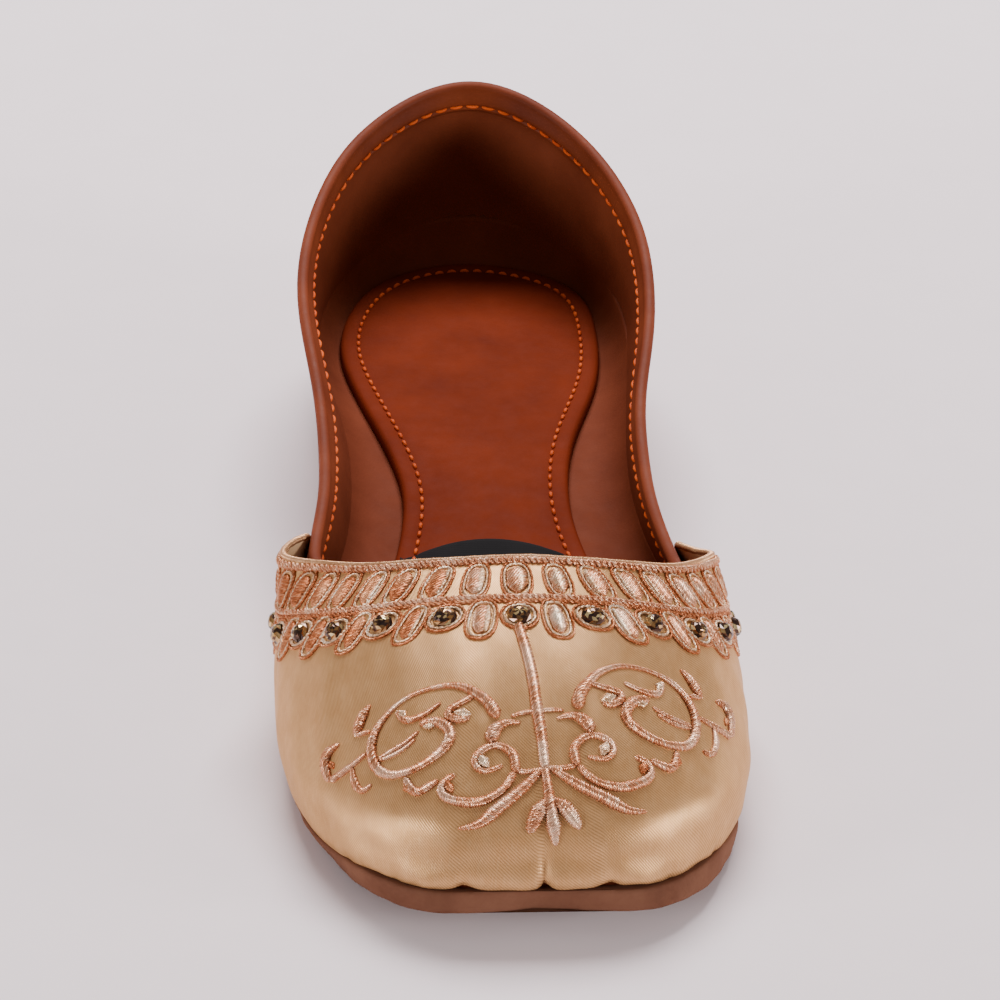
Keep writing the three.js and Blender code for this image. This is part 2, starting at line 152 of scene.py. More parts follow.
def curve_through(rows, closed):
    """A smooth curve through evenly spaced rows: returns a function of the row number."""
    rows = np.asarray(rows, float)
    slopes = np.zeros_like(rows)
    for _ in range(60):
        reach = 3 * (np.roll(rows, -1, 0) - np.roll(rows, 1, 0))
        fresh = (reach - np.roll(slopes, -1, 0) - np.roll(slopes, 1, 0)) / 4
        if not closed:
            fresh[0] = (3 * (rows[1] - rows[0]) - slopes[1]) / 2
            fresh[-1] = (3 * (rows[-1] - rows[-2]) - slopes[-2]) / 2
        slopes = fresh
    count = len(rows)

    def at(place):
        place = np.asarray(place, float)
        if closed:
            place = np.mod(place, count)
            i = np.floor(place).astype(int) % count
        else:
            i = np.clip(np.floor(place).astype(int), 0, count - 2)
        f = (place - i)[..., None]
        j = (i + 1) % count
        start = (2 * f**3 - 3 * f**2 + 1) * rows[i] + (f**3 - 2 * f**2 + f) * slopes[i]
        return start + (3 * f**2 - 2 * f**3) * rows[j] + (f**3 - f**2) * slopes[j]

    return at


def smooth(share):
    s = np.clip(share, 0, 1)
    return s * s * (3 - 2 * s)


def unit(v):
    return v / np.maximum(np.linalg.norm(v, axis=-1, keepdims=True), 1e-12)


def section_numbers(row):
    height = INSTEP_HEIGHT if row[1] == "front" else BACK_HEIGHT
    half, share = BALL_WIDTH / 200, LENGTH / 100
    foot_x, foot_y, top_x, top_y, top_z = row[2:7]
    return [foot_x * half, foot_y * share, top_x * half, top_y * share, top_z * height / 100, *row[7:]]


section_at = curve_through([section_numbers(row) for row in SECTIONS], True)
throat_at = curve_through(
    [[s, x * BALL_WIDTH / 200, y * LENGTH / 100, z * INSTEP_HEIGHT / 100] for _, s, x, y, z in THROAT], False
)
pad_at = curve_through([[x * BALL_WIDTH / 200, y * LENGTH / 100] for _, x, y in PAD], True)


def toe_rise(y):
    share = np.maximum((SPRING_START * LENGTH - y) / ((0.5 + SPRING_START) * LENGTH), 0)
    return TOE_SPRING * share**2


def heel_rise(y):
    return HEEL_LIFT * smooth((y / LENGTH - FOREFOOT_END) / (WAIST_END - FOREFOOT_END))


def sole_top(y):
    return toe_rise(y) + heel_rise(y) + OUTSOLE_THICKNESS


def sole_base(y):
    breast = smooth((y / LENGTH - WAIST_END) / (HEEL_START - WAIST_END))
    return toe_rise(y) + heel_rise(y) * (1 - breast)


def plan_normal(curve, place):
    step = 1e-3
    d = curve(np.asarray(place) + step) - curve(np.asarray(place) - step)
    return unit(np.stack([d[..., 1], -d[..., 0], np.zeros_like(d[..., 0])], -1))


def upper_point(t, v, lift=None):
    """The upper's outside: section t, v from 0 at the sole to 1 at the top. lift moves the top."""
    t, v = np.broadcast_arrays(np.asarray(t, float), np.asarray(v, float))
    row = section_at(t)
    foot = np.stack([row[..., 0], row[..., 1], sole_top(row[..., 1]) + GAP], -1)
    top = row[..., 2:5]
    chord = top - foot
    along = unit(chord)
    level = plan_normal(section_at, t)
    out = level * along[..., 2:3]
    out[..., 2] -= (along * level).sum(-1)
    low = foot + chord * row[..., 5:6] + out * row[..., 6:7]
    high = foot + chord * row[..., 7:8] + out * row[..., 8:9]
    if lift is not None:
        high = high + lift * LIFT_SHARE
        top = top + lift
    v = v[..., None]
    return (1 - v) ** 3 * foot + 3 * v * (1 - v) ** 2 * low + 3 * v * v * (1 - v) * high + v**3 * top


def outward(point, level, t, v):
    step = 1e-3
    low, high = np.maximum(v - step, 0), np.minimum(v + step, 1)
    across = point(t + step, v) - point(t - step, v)
    square = unit(np.cross(across, point(t, high) - point(t, low)))
    share = smooth(v / LEVEL_SHARE)[..., None]
    return unit(level(t) * (1 - share) + square * share)


def offset_point(point, level, t, v, distance):
    t, v = np.broadcast_arrays(np.asarray(t, float), np.asarray(v, float))
    start = point(t, v)
    moved = start + outward(point, level, t, v) * np.asarray(distance, float)[..., None]
    moved[..., 2] += (sole_top(moved[..., 1]) - sole_top(start[..., 1])) * (1 - smooth(v / LEVEL_SHARE))
    return moved


def foot_normal(t):
    return plan_normal(section_at, t)


def upper_offset(t, v, distance):
    return offset_point(upper_point, foot_normal, t, v, distance)


def vamp_offset(w, v, distance):
    """The vamp's surface at a distance off the upper: w is the row of THROAT, v as on the upper."""

    def place(row, height):
        return throat_at(row)[..., 0] * (1 + VAMP_RAKE * (1 - height))

    def lifted(row, height):
        edge = throat_at(row)
        lift = edge[..., 1:] - upper_offset(edge[..., 0], 1.0, GAP + VAMP_WALL)
        return upper_point(place(row, height), height, lift)

    return offset_point(lifted, lambda row: foot_normal(place(row, 0)), w, v, distance)


# --- Mesh building ---


class Batch:
    """Collects grids of points into one mesh, with a UV map in millimetres."""

    def __init__(self):
        self.points, self.faces, self.uvs, self.count = [], [], [], 0

    def grid(self, points, close_u=False, close_v=False, caps=False, uv=None):
        """points is an array (along u, along v, 3). caps closes both ends of a closed section."""
        nu, nv = points.shape[:2]
        index = np.arange(nu * nv).reshape(nu, nv) + self.count
        i = np.arange(nu if close_u else nu - 1)[:, None]
        j = np.arange(nv if close_v else nv - 1)[None, :]
        k, m = (i + 1) % nu, (j + 1) % nv
        quads = np.stack([index[i, j], index[k, j], index[k, m], index[i, m]], -1).reshape(-1, 4)
        if uv is None:
            uv = np.stack(np.meshgrid(np.arange(nu), np.arange(nv), indexing="ij"), -1).astype(float)
        texture = np.stack([uv[i, j], uv[k, j], uv[k, m], uv[i, m]], -2).reshape(-1, 4, 2)
        self.points.append(points.reshape(-1, 3))
        self.faces += [tuple(q) for q in quads.tolist()]
        self.uvs.append(texture.reshape(-1, 2))
        if caps:
            for end, ring in ((0, index[0]), (-1, index[-1][::-1])):
                self.faces.append(tuple(ring.tolist()))
                self.uvs.append(np.repeat(uv[end, :1], nv, 0))
        self.count += nu * nv

    def make(self, name, *materials, flat=False, slot=None):
        mesh = bpy.data.meshes.new(name)
        points = np.concatenate(self.points) * MM
        mesh.from_pydata(points.tolist(), [], self.faces)
        layer = mesh.uv_layers.new(name="mm")
        layer.data.foreach_set("uv", np.concatenate(self.uvs).astype(np.float32).ravel())
        mesh.validate()
        mesh.polygons.foreach_set("use_smooth", [not flat] * len(mesh.polygons))
        for material in materials:
            mesh.materials.append(material)
        piece = bpy.data.objects.new(name, mesh)
        bpy.context.collection.objects.link(piece)
        turn_outward(mesh)
        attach(piece, "root")
        return piece


def turn_outward(mesh):
    """Turns a closed mesh so that its faces point out."""
    import bmesh

    made = bmesh.new()
    made.from_mesh(mesh)
    bmesh.ops.recalc_face_normals(made, faces=made.faces)
    made.to_mesh(mesh)
    made.free()


def lengths_along(points):
    """Running length along the first axis of an array of points."""
    steps = np.linalg.norm(np.diff(points, axis=0), axis=-1)
    return np.concatenate([np.zeros((1, *steps.shape[1:])), np.cumsum(steps, 0)])


def resample(points, step):
    """Points at an even step along an open polyline."""
    run = lengths_along(points)
    count = max(int(round(run[-1] / step)), 2)
    at = np.linspace(0, run[-1], count + 1)
    return np.stack([np.interp(at, run, points[:, k]) for k in range(points.shape[1])], -1)


def frames_along(path, normals, close=False):
    """Unit tangent, side and normal of a path that lies on a surface."""
    tangent = unit(np.roll(path, -1, 0) - np.roll(path, 1, 0) if close else np.gradient(path, axis=0))
    side = unit(np.cross(normals, tangent))
    return tangent, side, unit(np.cross(tangent, side))


def tube(batch, path, normals, half_width, height, sides=10, sink=0.0, ends=True, slant=0.0, close=False):
    """A rounded cord along a path: half_width to its sides, height above the path, sink below it."""
    _, side, up = frames_along(path, normals, close)
    angle = np.linspace(0, 2 * np.pi, sides, endpoint=False)
    wide, tall = np.cos(angle), np.sin(angle)
    half_width = np.broadcast_to(half_width, len(path))[:, None, None]
    height = np.broadcast_to(height, len(path))[:, None, None]
    lift = np.where(tall[None, :, None] > 0, tall[None, :, None] * height, tall[None, :, None] * sink)
    ring = path[:, None] + side[:, None] * wide[None, :, None] * half_width + up[:, None] * lift
    run = lengths_along(path)
    lay = slant * wide[None, :] * half_width[:, :, 0]
    uv = np.stack(np.broadcast_arrays(run[:, None] + lay, angle[None, :] * 0.5), -1)
    batch.grid(ring, close_u=close, close_v=True, caps=ends and not close, uv=uv)


# --- Shader nodes ---


class Nodes:
    """A small helper that adds nodes to a material and joins them."""

    def __init__(self, name):
        self.material = bpy.data.materials.new(name)
        self.material.use_nodes = True
        self.tree = self.material.node_tree
        self.shader = self.tree.nodes["Principled BSDF"]

    def add(self, kind, inputs=None, **settings):
        node = self.tree.nodes.new(kind)
        for key, value in settings.items():
            setattr(node, key, value)
        for key, value in (inputs or {}).items():
            self.set(node.inputs[key], value)
        return node

    def set(self, socket, value):
        if isinstance(value, bpy.types.NodeSocket):
            self.tree.links.new(value, socket)
        elif isinstance(value, bpy.types.Node):
            self.tree.links.new(value.outputs[0], socket)
        else:
            socket.default_value = value

    def ramp(self, factor, *stops):
        node = self.add("ShaderNodeValToRGB", {"Fac": factor})
        elements = node.color_ramp.elements
        while len(elements) < len(stops):
            elements.new(0.5)
        for element, (place, color) in zip(elements, stops):
            element.position = place
            element.color = color if len(color) == 4 else (*color, 1)
        return node.outputs["Color"]

    def math(self, operation, *values):
        node = self.add("ShaderNodeMath", operation=operation)
        for socket, value in zip(node.inputs, values):
            self.set(socket, value)
        return node.outputs[0]

    def mix(self, factor, a, b, blend="MIX"):
        node = self.add("ShaderNodeMix", data_type="RGBA", blend_type=blend)
        for socket, value in zip((node.inputs[0], node.inputs[6], node.inputs[7]), (factor, a, b)):
            self.set(socket, value)
        return node.outputs[2]

    def noise(self, scale, detail=4, roughness=0.55, where=None):
        inputs = {"Scale": scale, "Detail": detail, "Roughness": roughness}
        if where is not None:
            inputs["Vector"] = where
        return self.add("ShaderNodeTexNoise", inputs).outputs["Fac"]

    def place(self):
        return self.add("ShaderNodeTexCoord").outputs["Object"]

    def stretch(self, vector, scale, rotation=(0, 0, 0)):
        inputs = {"Vector": vector, "Scale": scale, "Rotation": rotation}
        return self.add("ShaderNodeMapping", inputs).outputs[0]

    def bump(self, height, strength, distance, normal=None):
        inputs = {"Height": height, "Strength": strength, "Distance": distance}
        if normal is not None:
            inputs["Normal"] = normal
        return self.add("ShaderNodeBump", inputs).outputs[0]

    def finish(self, **inputs):
        for key, value in inputs.items():
            self.set(self.shader.inputs[key.replace("_", " ")], value)
        return self.material


def srgb(red, green, blue):
    """A colour given as 0 to 255 display values, as linear light."""
    c = np.array([red, green, blue]) / 255
    linear = np.where(c <= 0.04045, c / 12.92, ((c + 0.055) / 1.055) ** 2.4)
    return (*(float(x) for x in linear), 1.0)


def leather(name, dark, light, roughness, grain=1.0, gloss=0.4):
    """Smooth dyed leather: fine pores, soft mottling, small scuffs."""
    n = Nodes(name)
    where = n.place()
    mottle = n.noise(55, 5, 0.6, where)
    cells = n.add("ShaderNodeTexVoronoi", {"Vector": where, "Scale": 1500.0}, feature="F1")
    pores = cells.outputs["Distance"]
    fine = n.noise(2600, 3, 0.6, where)
    scuff = n.noise(240, 6, 0.7, where)
    color = n.ramp(mottle, (0.3, dark), (0.7, light))
    color = n.mix(n.ramp(scuff, (0.58, (0, 0, 0)), (0.8, (0.35, 0.35, 0.35))), color, light)
    rough = n.ramp(scuff, (0.3, (roughness,) * 3), (0.75, (min(roughness + 0.14, 1),) * 3))
    height = n.math("ADD", n.math("MULTIPLY", pores, 0.6), n.math("MULTIPLY", fine, 0.5))
    normal = n.bump(height, 0.35 * grain, 0.00012)
    normal = n.bump(mottle, 0.25, 0.0006, normal)
    return n.finish(Base_Color=color, Roughness=rough, Normal=normal, Specular_IOR_Level=gloss)


def satin(name):
    """Pale gold satin: a fine diagonal twill, long floats lightened in the colour as painted sheen, and a
    strong sheen across the warp.
    """
    n = Nodes(name)
    uv = n.add("ShaderNodeUVMap", uv_map="mm").outputs[0]
    twill = n.add(
        "ShaderNodeTexWave",
        {"Vector": n.stretch(uv, (1, 1, 1), (0, 0, np.radians(-42))), "Scale": 0.7, "Distortion": 0.6,
         "Detail": 1.0, "Detail Scale": 4.0},
        wave_type="BANDS", bands_direction="X",
    ).outputs["Fac"]
    float_sheen_streak = n.noise(1.0, 5, 0.7, n.stretch(uv, (3.2, 0.28, 1)))
    slub = n.noise(1.0, 3, 0.5, n.stretch(uv, (0.25, 0.25, 1)))
    tone = n.mix(n.ramp(slub, (0.3, (0, 0, 0)), (0.7, (1, 1, 1))), srgb(192, 145, 96), srgb(208, 161, 112))
    tone = n.mix(n.ramp(twill, (0.15, (0.5,) * 3), (0.7, (0,) * 3)), tone, srgb(128, 88, 52))
    # Painted sheen: the float streaks lighten the colour towards a pale gold.
    tone = n.mix(n.ramp(float_sheen_streak, (0.5, (0, 0, 0)), (0.8, (0.35,) * 3)), tone, srgb(226, 190, 142))
    rough = n.ramp(float_sheen_streak, (0.3, (0.42,) * 3), (0.75, (0.26,) * 3))
    normal = n.bump(twill, 0.25, 0.00012)
    normal = n.bump(float_sheen_streak, 0.18, 0.0002, normal)
    tangent = n.add("ShaderNodeTangent", direction_type="UV_MAP", uv_map="mm").outputs[0]
    return n.finish(
        Base_Color=tone, Roughness=rough, Normal=normal, Tangent=tangent, Anisotropic=0.6, Metallic=0.5,
        Specular_IOR_Level=0.4, Specular_Tint=srgb(255, 222, 170),
    )


def plain_cloth(name, dark, light, roughness=0.8):
    """A close woven cloth."""
    n = Nodes(name)
    where = n.place()
    weave = n.math(
        "MULTIPLY",
        n.add("ShaderNodeTexWave", {"Vector": where, "Scale": 520.0}, bands_direction="X").outputs["Fac"],
        n.add("ShaderNodeTexWave", {"Vector": where, "Scale": 520.0}, bands_direction="Y").outputs["Fac"],
    )
    mottle = n.noise(90, 5, 0.6, where)
    color = n.ramp(mottle, (0.3, dark), (0.7, light))
    return n.finish(
        Base_Color=color, Roughness=roughness, Normal=n.bump(weave, 0.35, 0.0001), Specular_IOR_Level=0.15,
    )


def thread(name, dark, middle, light, pitch=0.32, roughness=0.26):
    """Rayon embroidery thread: u runs along the cord in millimetres and the threads lie across it."""
    n = Nodes(name)
    uv = n.add("ShaderNodeUVMap", uv_map="mm").outputs[0]
    lay = n.stretch(uv, (1 / pitch, 0.35 / pitch, 1))
    wave = n.add(
        "ShaderNodeTexWave",
        {"Vector": lay, "Scale": 0.314, "Distortion": 1.2, "Detail": 2.0, "Detail Scale": 1.5},
        bands_direction="X",
    ).outputs["Fac"]
    strand = n.noise(1.0, 4, 0.65, n.stretch(uv, (2.6, 0.7, 1)))
    painted_glint_patch = n.noise(140, 3, 0.5, n.place())
    # Tone varies at random from strand to strand; the near-white top of the ramp also serves as painted
    # highlight.
    color = n.ramp(strand, (0.28, dark), (0.5, middle), (0.74, light))
    # Painted shade: the colour darkens in the grooves between the laid threads.
    color = n.mix(n.ramp(wave, (0.05, (0.75,) * 3), (0.4, (0,) * 3)), color, dark)
    # Painted highlight: broad random patches turned towards the light colour, standing in for glints on the
    # thread.
    color = n.mix(n.ramp(painted_glint_patch, (0.5, (0, 0, 0)), (0.7, (0.45,) * 3)), color, light)
    normal = n.bump(wave, 0.6, 0.00018)
    tangent = n.add("ShaderNodeTangent", direction_type="UV_MAP", uv_map="mm").outputs[0]
    return n.finish(
        Base_Color=color, Roughness=roughness, Normal=normal, Tangent=tangent, Anisotropic=0.4, Metallic=0.55,
        Specular_IOR_Level=0.5, Specular_Tint=srgb(255, 214, 176),
    )


def cut_glass(name):
    """Smoky foil-backed brown stone: each facet is painted its own brightness, from deep brown to pale gold, as
    painted glints and dark reflections.
    """
    n = Nodes(name)
    shade = n.add("ShaderNodeAttribute", attribute_name="facet").outputs["Fac"]
    color = n.ramp(shade, (0.0, srgb(28, 16, 12)), (0.5, srgb(84, 54, 36)), (0.78, srgb(176, 132, 76)),
                   (1.0, srgb(255, 236, 176)))
    cloud = n.noise(900, 2, 0.5, n.place())
    color = n.mix(n.ramp(cloud, (0.4, (0, 0, 0)), (0.8, (0.2,) * 3)), color, srgb(130, 112, 108))
    return n.finish(
        Base_Color=color, Metallic=0.85, Roughness=0.1, Coat_Weight=0.4, Coat_Roughness=0.02,
    )


# Materials are made below, one for each finish of the shoe.
UPPER_LEATHER = leather("upper_leather", srgb(92, 37, 18), srgb(112, 50, 26), 0.56, 1.0, 0.14)
LINING_LEATHER = leather("lining_leather", srgb(94, 42, 25), srgb(112, 54, 34), 0.66, 0.8, 0.06)
PAD_LEATHER = leather("pad_leather", srgb(92, 29, 8), srgb(110, 38, 12), 0.66, 0.6, 0.06)
SOLE_LEATHER = leather("sole_leather", srgb(84, 50, 37), srgb(118, 80, 62), 0.78, 1.5, 0.08)
SATIN = satin("vamp_satin")
BACKING = plain_cloth("vamp_backing", srgb(208, 166, 122), srgb(232, 196, 154))
LABEL_CLOTH = plain_cloth("label_cloth", srgb(10, 9, 11), srgb(20, 18, 20), 0.85)
HEM_THREAD = thread("hem_thread", srgb(176, 124, 86), srgb(206, 158, 116), srgb(232, 196, 156), 0.3)
ROSE_THREAD = thread("rose_thread", srgb(98, 42, 20), srgb(226, 154, 112), srgb(255, 232, 204))
COPPER_THREAD = thread("copper_thread", srgb(88, 38, 18), srgb(192, 110, 66), srgb(250, 190, 144))
PALE_THREAD = thread("pale_thread", srgb(136, 82, 48), srgb(240, 200, 158), srgb(255, 250, 232))
ORANGE_THREAD = plain_cloth("orange_thread", srgb(176, 64, 18), srgb(212, 94, 34), 0.6)
GLASS = cut_glass("crystal_glass")

# --- Soft shapes, listed one by one ---

# Creases of the leather: section, height, half length in sections, half width in height, slope, depth in mm.
CREASES = [
    (12.6, 0.62, 1.3, 0.10, 0.10, -0.45),
    (13.4, 0.38, 1.0, 0.08, -0.06, 0.35),
    (15.0, 0.55, 0.9, 0.12, 0.05, -0.40),
    (16.2, 0.34, 1.2, 0.09, 0.08, -0.35),
    (11.2, 0.45, 0.8, 0.16, -0.20, 0.40),
    (17.6, 0.60, 0.9, 0.14, 0.18, 0.35),
    (9.2, 0.50, 1.1, 0.20, 0.10, -0.35),
    (19.4, 0.55, 1.3, 0.20, -0.08, -0.40),
    (7.6, 0.62, 0.6, 0.18, 0.30, 0.30),
    (21.0, 0.60, 0.7, 0.18, -0.25, 0.30),
]

# Gathers of the satin where it turns under at the toe: section, height they reach, half width in
# sections, depth.
GATHERS = [
    (0.02, 0.26, 0.030, -1.0),
    (0.20, 0.22, 0.12, 0.55),
    (-0.17, 0.22, 0.12, 0.55),
    (-0.75, 0.13, 0.05, -0.55),
    (0.68, 0.14, 0.05, -0.55),
    (-1.45, 0.16, 0.07, -0.35),
    (1.35, 0.15, 0.07, -0.35),
    (-2.1, 0.14, 0.06, -0.32),
    (2.15, 0.14, 0.06, -0.32),
    (-1.1, 0.12, 0.10, 0.3),
    (1.05, 0.12, 0.10, 0.3),
]

# Where the satin's turned edge has crept up off the sole: section, half width in sections, rise in mm.
RAGGED = [
    (-0.73, 0.12, 1.1), (0.64, 0.12, 1.2), (0.03, 0.06, 1.1),
    (-1.7, 0.2, 0.5), (1.8, 0.2, 0.6), (0.9, 0.2, 0.5),
]


def crease_depth(t, v):
    total = 0.0
    for section, height, long, wide, slope, depth in CREASES:
        along = (t - section) / long
        across = (v - height - slope * (t - section)) / wide
        total = total + depth * np.exp(-(along**2) - across**2)
    return total * smooth(v / 0.15) * smooth((0.93 - v) / 0.12)


def satin_relief(s, v):
    """Gathers at the sole, the soft break over the toes, and slow waves in the cloth."""
    total = 0.0
    for section, reach, wide, depth in GATHERS:
        fan = section * (1 - 0.15 * v)
        across = np.exp(-(((s - fan) / (wide * (1 + 2 * v))) ** 2))
        total = total + depth * across * smooth((reach - v) / reach)
    front = np.exp(-((s / 2.6) ** 2))
    total = total + 0.6 * front * np.exp(-(((v - 0.27) / 0.07) ** 2))
    total = total - 0.5 * front * np.exp(-(((v - 0.13) / 0.06) ** 2))
    wave = 0.10 * np.sin(9.0 * s + 14 * v) + 0.08 * np.sin(5.3 * s - 11 * v)
    return total + wave * smooth(v / 0.1) * smooth((0.9 - v) / 0.2)


# --- The upper ---

STITCH_INSET = 4.5  # the collar's seam lies this far below its edge, inside
COLLAR_FOLD = 1.1  # how far the folded collar thickens inside the wall, most at its seam
COLLAR_RISE = 1.0  # how far its fold rounds over the wall's edge
UPPER_AROUND = 320
FRONT_OF_COLLAR = 5.6  # the collar's seam runs back from this section, on both sides, under the vamp


def collar_heights(t, depth):
    """The height shares that lie at a given depth below the collar, along the wall."""
    v = np.linspace(0.55, 1, 40)
    points = upper_point(np.asarray(t)[:, None], v[None, :])
    steps = np.linalg.norm(np.diff(points, axis=1), axis=-1)
    below = np.concatenate([np.cumsum(steps[:, ::-1], 1)[:, ::-1], np.zeros((len(steps), 1))], 1)
    return np.array([np.interp(-depth, -row, v) for row in below])


def build_upper():
    t = np.arange(UPPER_AROUND) / UPPER_AROUND * len(SECTIONS)
    v = np.concatenate([np.linspace(0, 0.86, 24), np.linspace(0.86, 1, 26)[1:]])
    tt, vv = t[:, None], v[None, :]
    below = (1 - vv) / (1 - collar_heights(t, STITCH_INSET)[:, None])
    fold = COLLAR_FOLD * (0.55 + 0.45 * smooth(below / 0.8)) * (1 - smooth((below - 1.12) / 0.35))
    groove = 0.3 * np.exp(-(((below - 1.0) / 0.09) ** 2))
    crease = crease_depth(tt, vv)
    outside = upper_offset(tt, vv, crease)
    inside = upper_offset(tt, vv, crease + groove - fold - UPPER_WALL)[:, ::-1]
    middle, half = (outside[:, -1] + inside[:, 0]) / 2, (outside[:, -1] - inside[:, 0]) / 2
    rise = unit(outside[:, -1] - outside[:, -2]) * COLLAR_RISE
    turns = np.radians(np.arange(22.5, 180, 22.5))
    rim = np.stack([middle + half * np.cos(a) + rise * np.sin(a) for a in turns], 1)
    batch = Batch()
    batch.grid(np.concatenate([outside, rim, inside], 1), close_u=True, close_v=True)
    piece = batch.make("upper_leather", UPPER_LEATHER, LINING_LEATHER, slot="upper_leather")
    lined = np.concatenate([np.zeros((UPPER_AROUND, len(v) + rim.shape[1]), int), (below > 1.3)[:, ::-1]], 1)
    piece.data.polygons.foreach_set("material_index", lined.ravel())
    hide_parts("upper")


def build_collar_stitches():
    """The waxed seam that holds the folded collar."""
    t = np.linspace(FRONT_OF_COLLAR, len(SECTIONS) - FRONT_OF_COLLAR, 420)
    seam = upper_offset(t, collar_heights(t, STITCH_INSET), 0.12 - COLLAR_FOLD - UPPER_WALL)
    normal = unit(upper_offset(t, 0.9, -UPPER_WALL) - upper_offset(t, 0.9, 0))
    stitch_row("collar_stitches", seam, normal, pitch=3.6, length=2.7, radius=0.36)


def stitch_row(name, path, normals, pitch, length, radius):
    """Single waxed stitches along a seam: each rises out of the leather and dives back into it."""
    batch = Batch()
    run = lengths_along(path)
    for start in np.arange(pitch / 2, run[-1] - pitch, pitch):
        at = start + np.linspace(0, length, 7) * (0.92 + 0.12 * RNG.random())
        points = np.stack([np.interp(at, run, path[:, c]) for c in range(3)], -1)
        up = unit(np.stack([np.interp(at, run, normals[:, c]) for c in range(3)], -1))
        share = np.linspace(-1, 1, 7)
        arch = radius * (1.1 * (1 - share**2) - 0.55)
        thick = radius * np.sqrt(np.maximum(1 - 0.75 * share**4, 0.1))
        tube(batch, points + up * arch[:, None], up, thick, thick, 8, sink=radius)
    return batch.make(name, ORANGE_THREAD, slot="stitching")


# --- The sole, insole and pad ---


def plan_ring(curve, count, place, offset, height):
    """A closed ring in plan: a curve pushed out by offset, at the height that a function of y gives."""
    xy = curve(place)
    points = np.concatenate([xy[..., :2], np.zeros((count, 1))], -1)
    points = points + plan_normal(curve, place) * np.broadcast_to(offset, count)[:, None]
    points[:, 2] = height(points[:, 1])
    return points


def plate(batch, rings, base, top, across, crown=0.0):
    """A plate inside a closed outline: rings run from its underside round the edge to its top.

    Both faces are ruled.
    """
    around = len(rings[0])
    along = around // 2
    batch.grid(np.stack(rings, 1), close_u=True)
    for ring, height, lift in ((rings[0], base, 0.0), (rings[-1], top, crown)):
        right, left = ring[: along + 1], ring[(around - np.arange(along + 1)) % around]
        share = np.linspace(0, 1, across + 1)[None, :, None]
        face = right[:, None] * (1 - share) + left[:, None] * share
        dome = np.sin(np.pi * share[..., 0]) ** 0.6 * smooth(np.linspace(0, 1, along + 1) / 0.12)[:, None]
        dome = dome * smooth((1 - np.linspace(0, 1, along + 1)) / 0.12)[:, None]
        inner = slice(1, -1)
        face[inner, inner, 2] = (height(face[..., 1]) + lift * dome)[inner, inner]
        batch.grid(face)


def merged(piece):
    """Joins the vertices that neighbouring grids share, so the piece is one closed surface."""
    import bmesh

    made = bmesh.new()
    made.from_mesh(piece.data)
    bmesh.ops.remove_doubles(made, verts=made.verts, dist=1e-6)
    bmesh.ops.dissolve_degenerate(made, dist=1e-7, edges=made.edges)
    bmesh.ops.recalc_face_normals(made, faces=made.faces)
    made.to_mesh(piece.data)
    made.free()
    return piece


def build_outsole():
    count = 320
    place = np.arange(count) / count * len(SECTIONS)
    top_out, base_out = section_at(place)[:, 9], section_at(place)[:, 10]
    wander = 0.12 * np.sin(place * 7.1) + 0.08 * np.sin(place * 17.3)

    def ring(share, inset, height):
        out = base_out * (1 - share) + top_out * share - inset + wander
        return plan_ring(section_at, count, place, out, height)

    def between(share):
        return lambda y: sole_base(y) * (1 - share) + sole_top(y) * share

    rings = [ring(0, 0.8, sole_base), ring(0, 0.3, lambda y: sole_base(y) + 0.2)]
    rings += [ring(0, 0, lambda y: sole_base(y) + 0.7), ring(0.3, -0.05, between(0.35))]
    rings += [ring(0.7, -0.1, between(0.65)), ring(1, 0, lambda y: sole_top(y) - 0.7)]
    rings += [ring(1, 0.25, lambda y: sole_top(y) - 0.2), ring(1, 0.6, sole_top)]
    batch = Batch()
    plate(batch, rings, sole_base, sole_top, 24)
    piece = merged(batch.make("outsole_leather", SOLE_LEATHER, slot="sole_leather"))
    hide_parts("outsole")


def insole_top(y):
    return sole_top(y) + GAP + INSOLE_THICKNESS


def build_insole():
    count = 280
    place = np.arange(count) / count * len(SECTIONS)
    inset = -(UPPER_WALL + GAP)

    def under(y):
        return sole_top(y) + GAP

    rings = [plan_ring(section_at, count, place, inset, under)]
    rings.append(plan_ring(section_at, count, place, inset, lambda y: insole_top(y) - 0.4))
    rings.append(plan_ring(section_at, count, place, inset - 0.4, insole_top))
    batch = Batch()
    plate(batch, rings, under, insole_top, 20)
    piece = merged(batch.make("insole_leather", LINING_LEATHER, slot="lining_leather"))
    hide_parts("insole")


COVE_HEIGHT = 0.30  # height share at which the lining leaves the wall


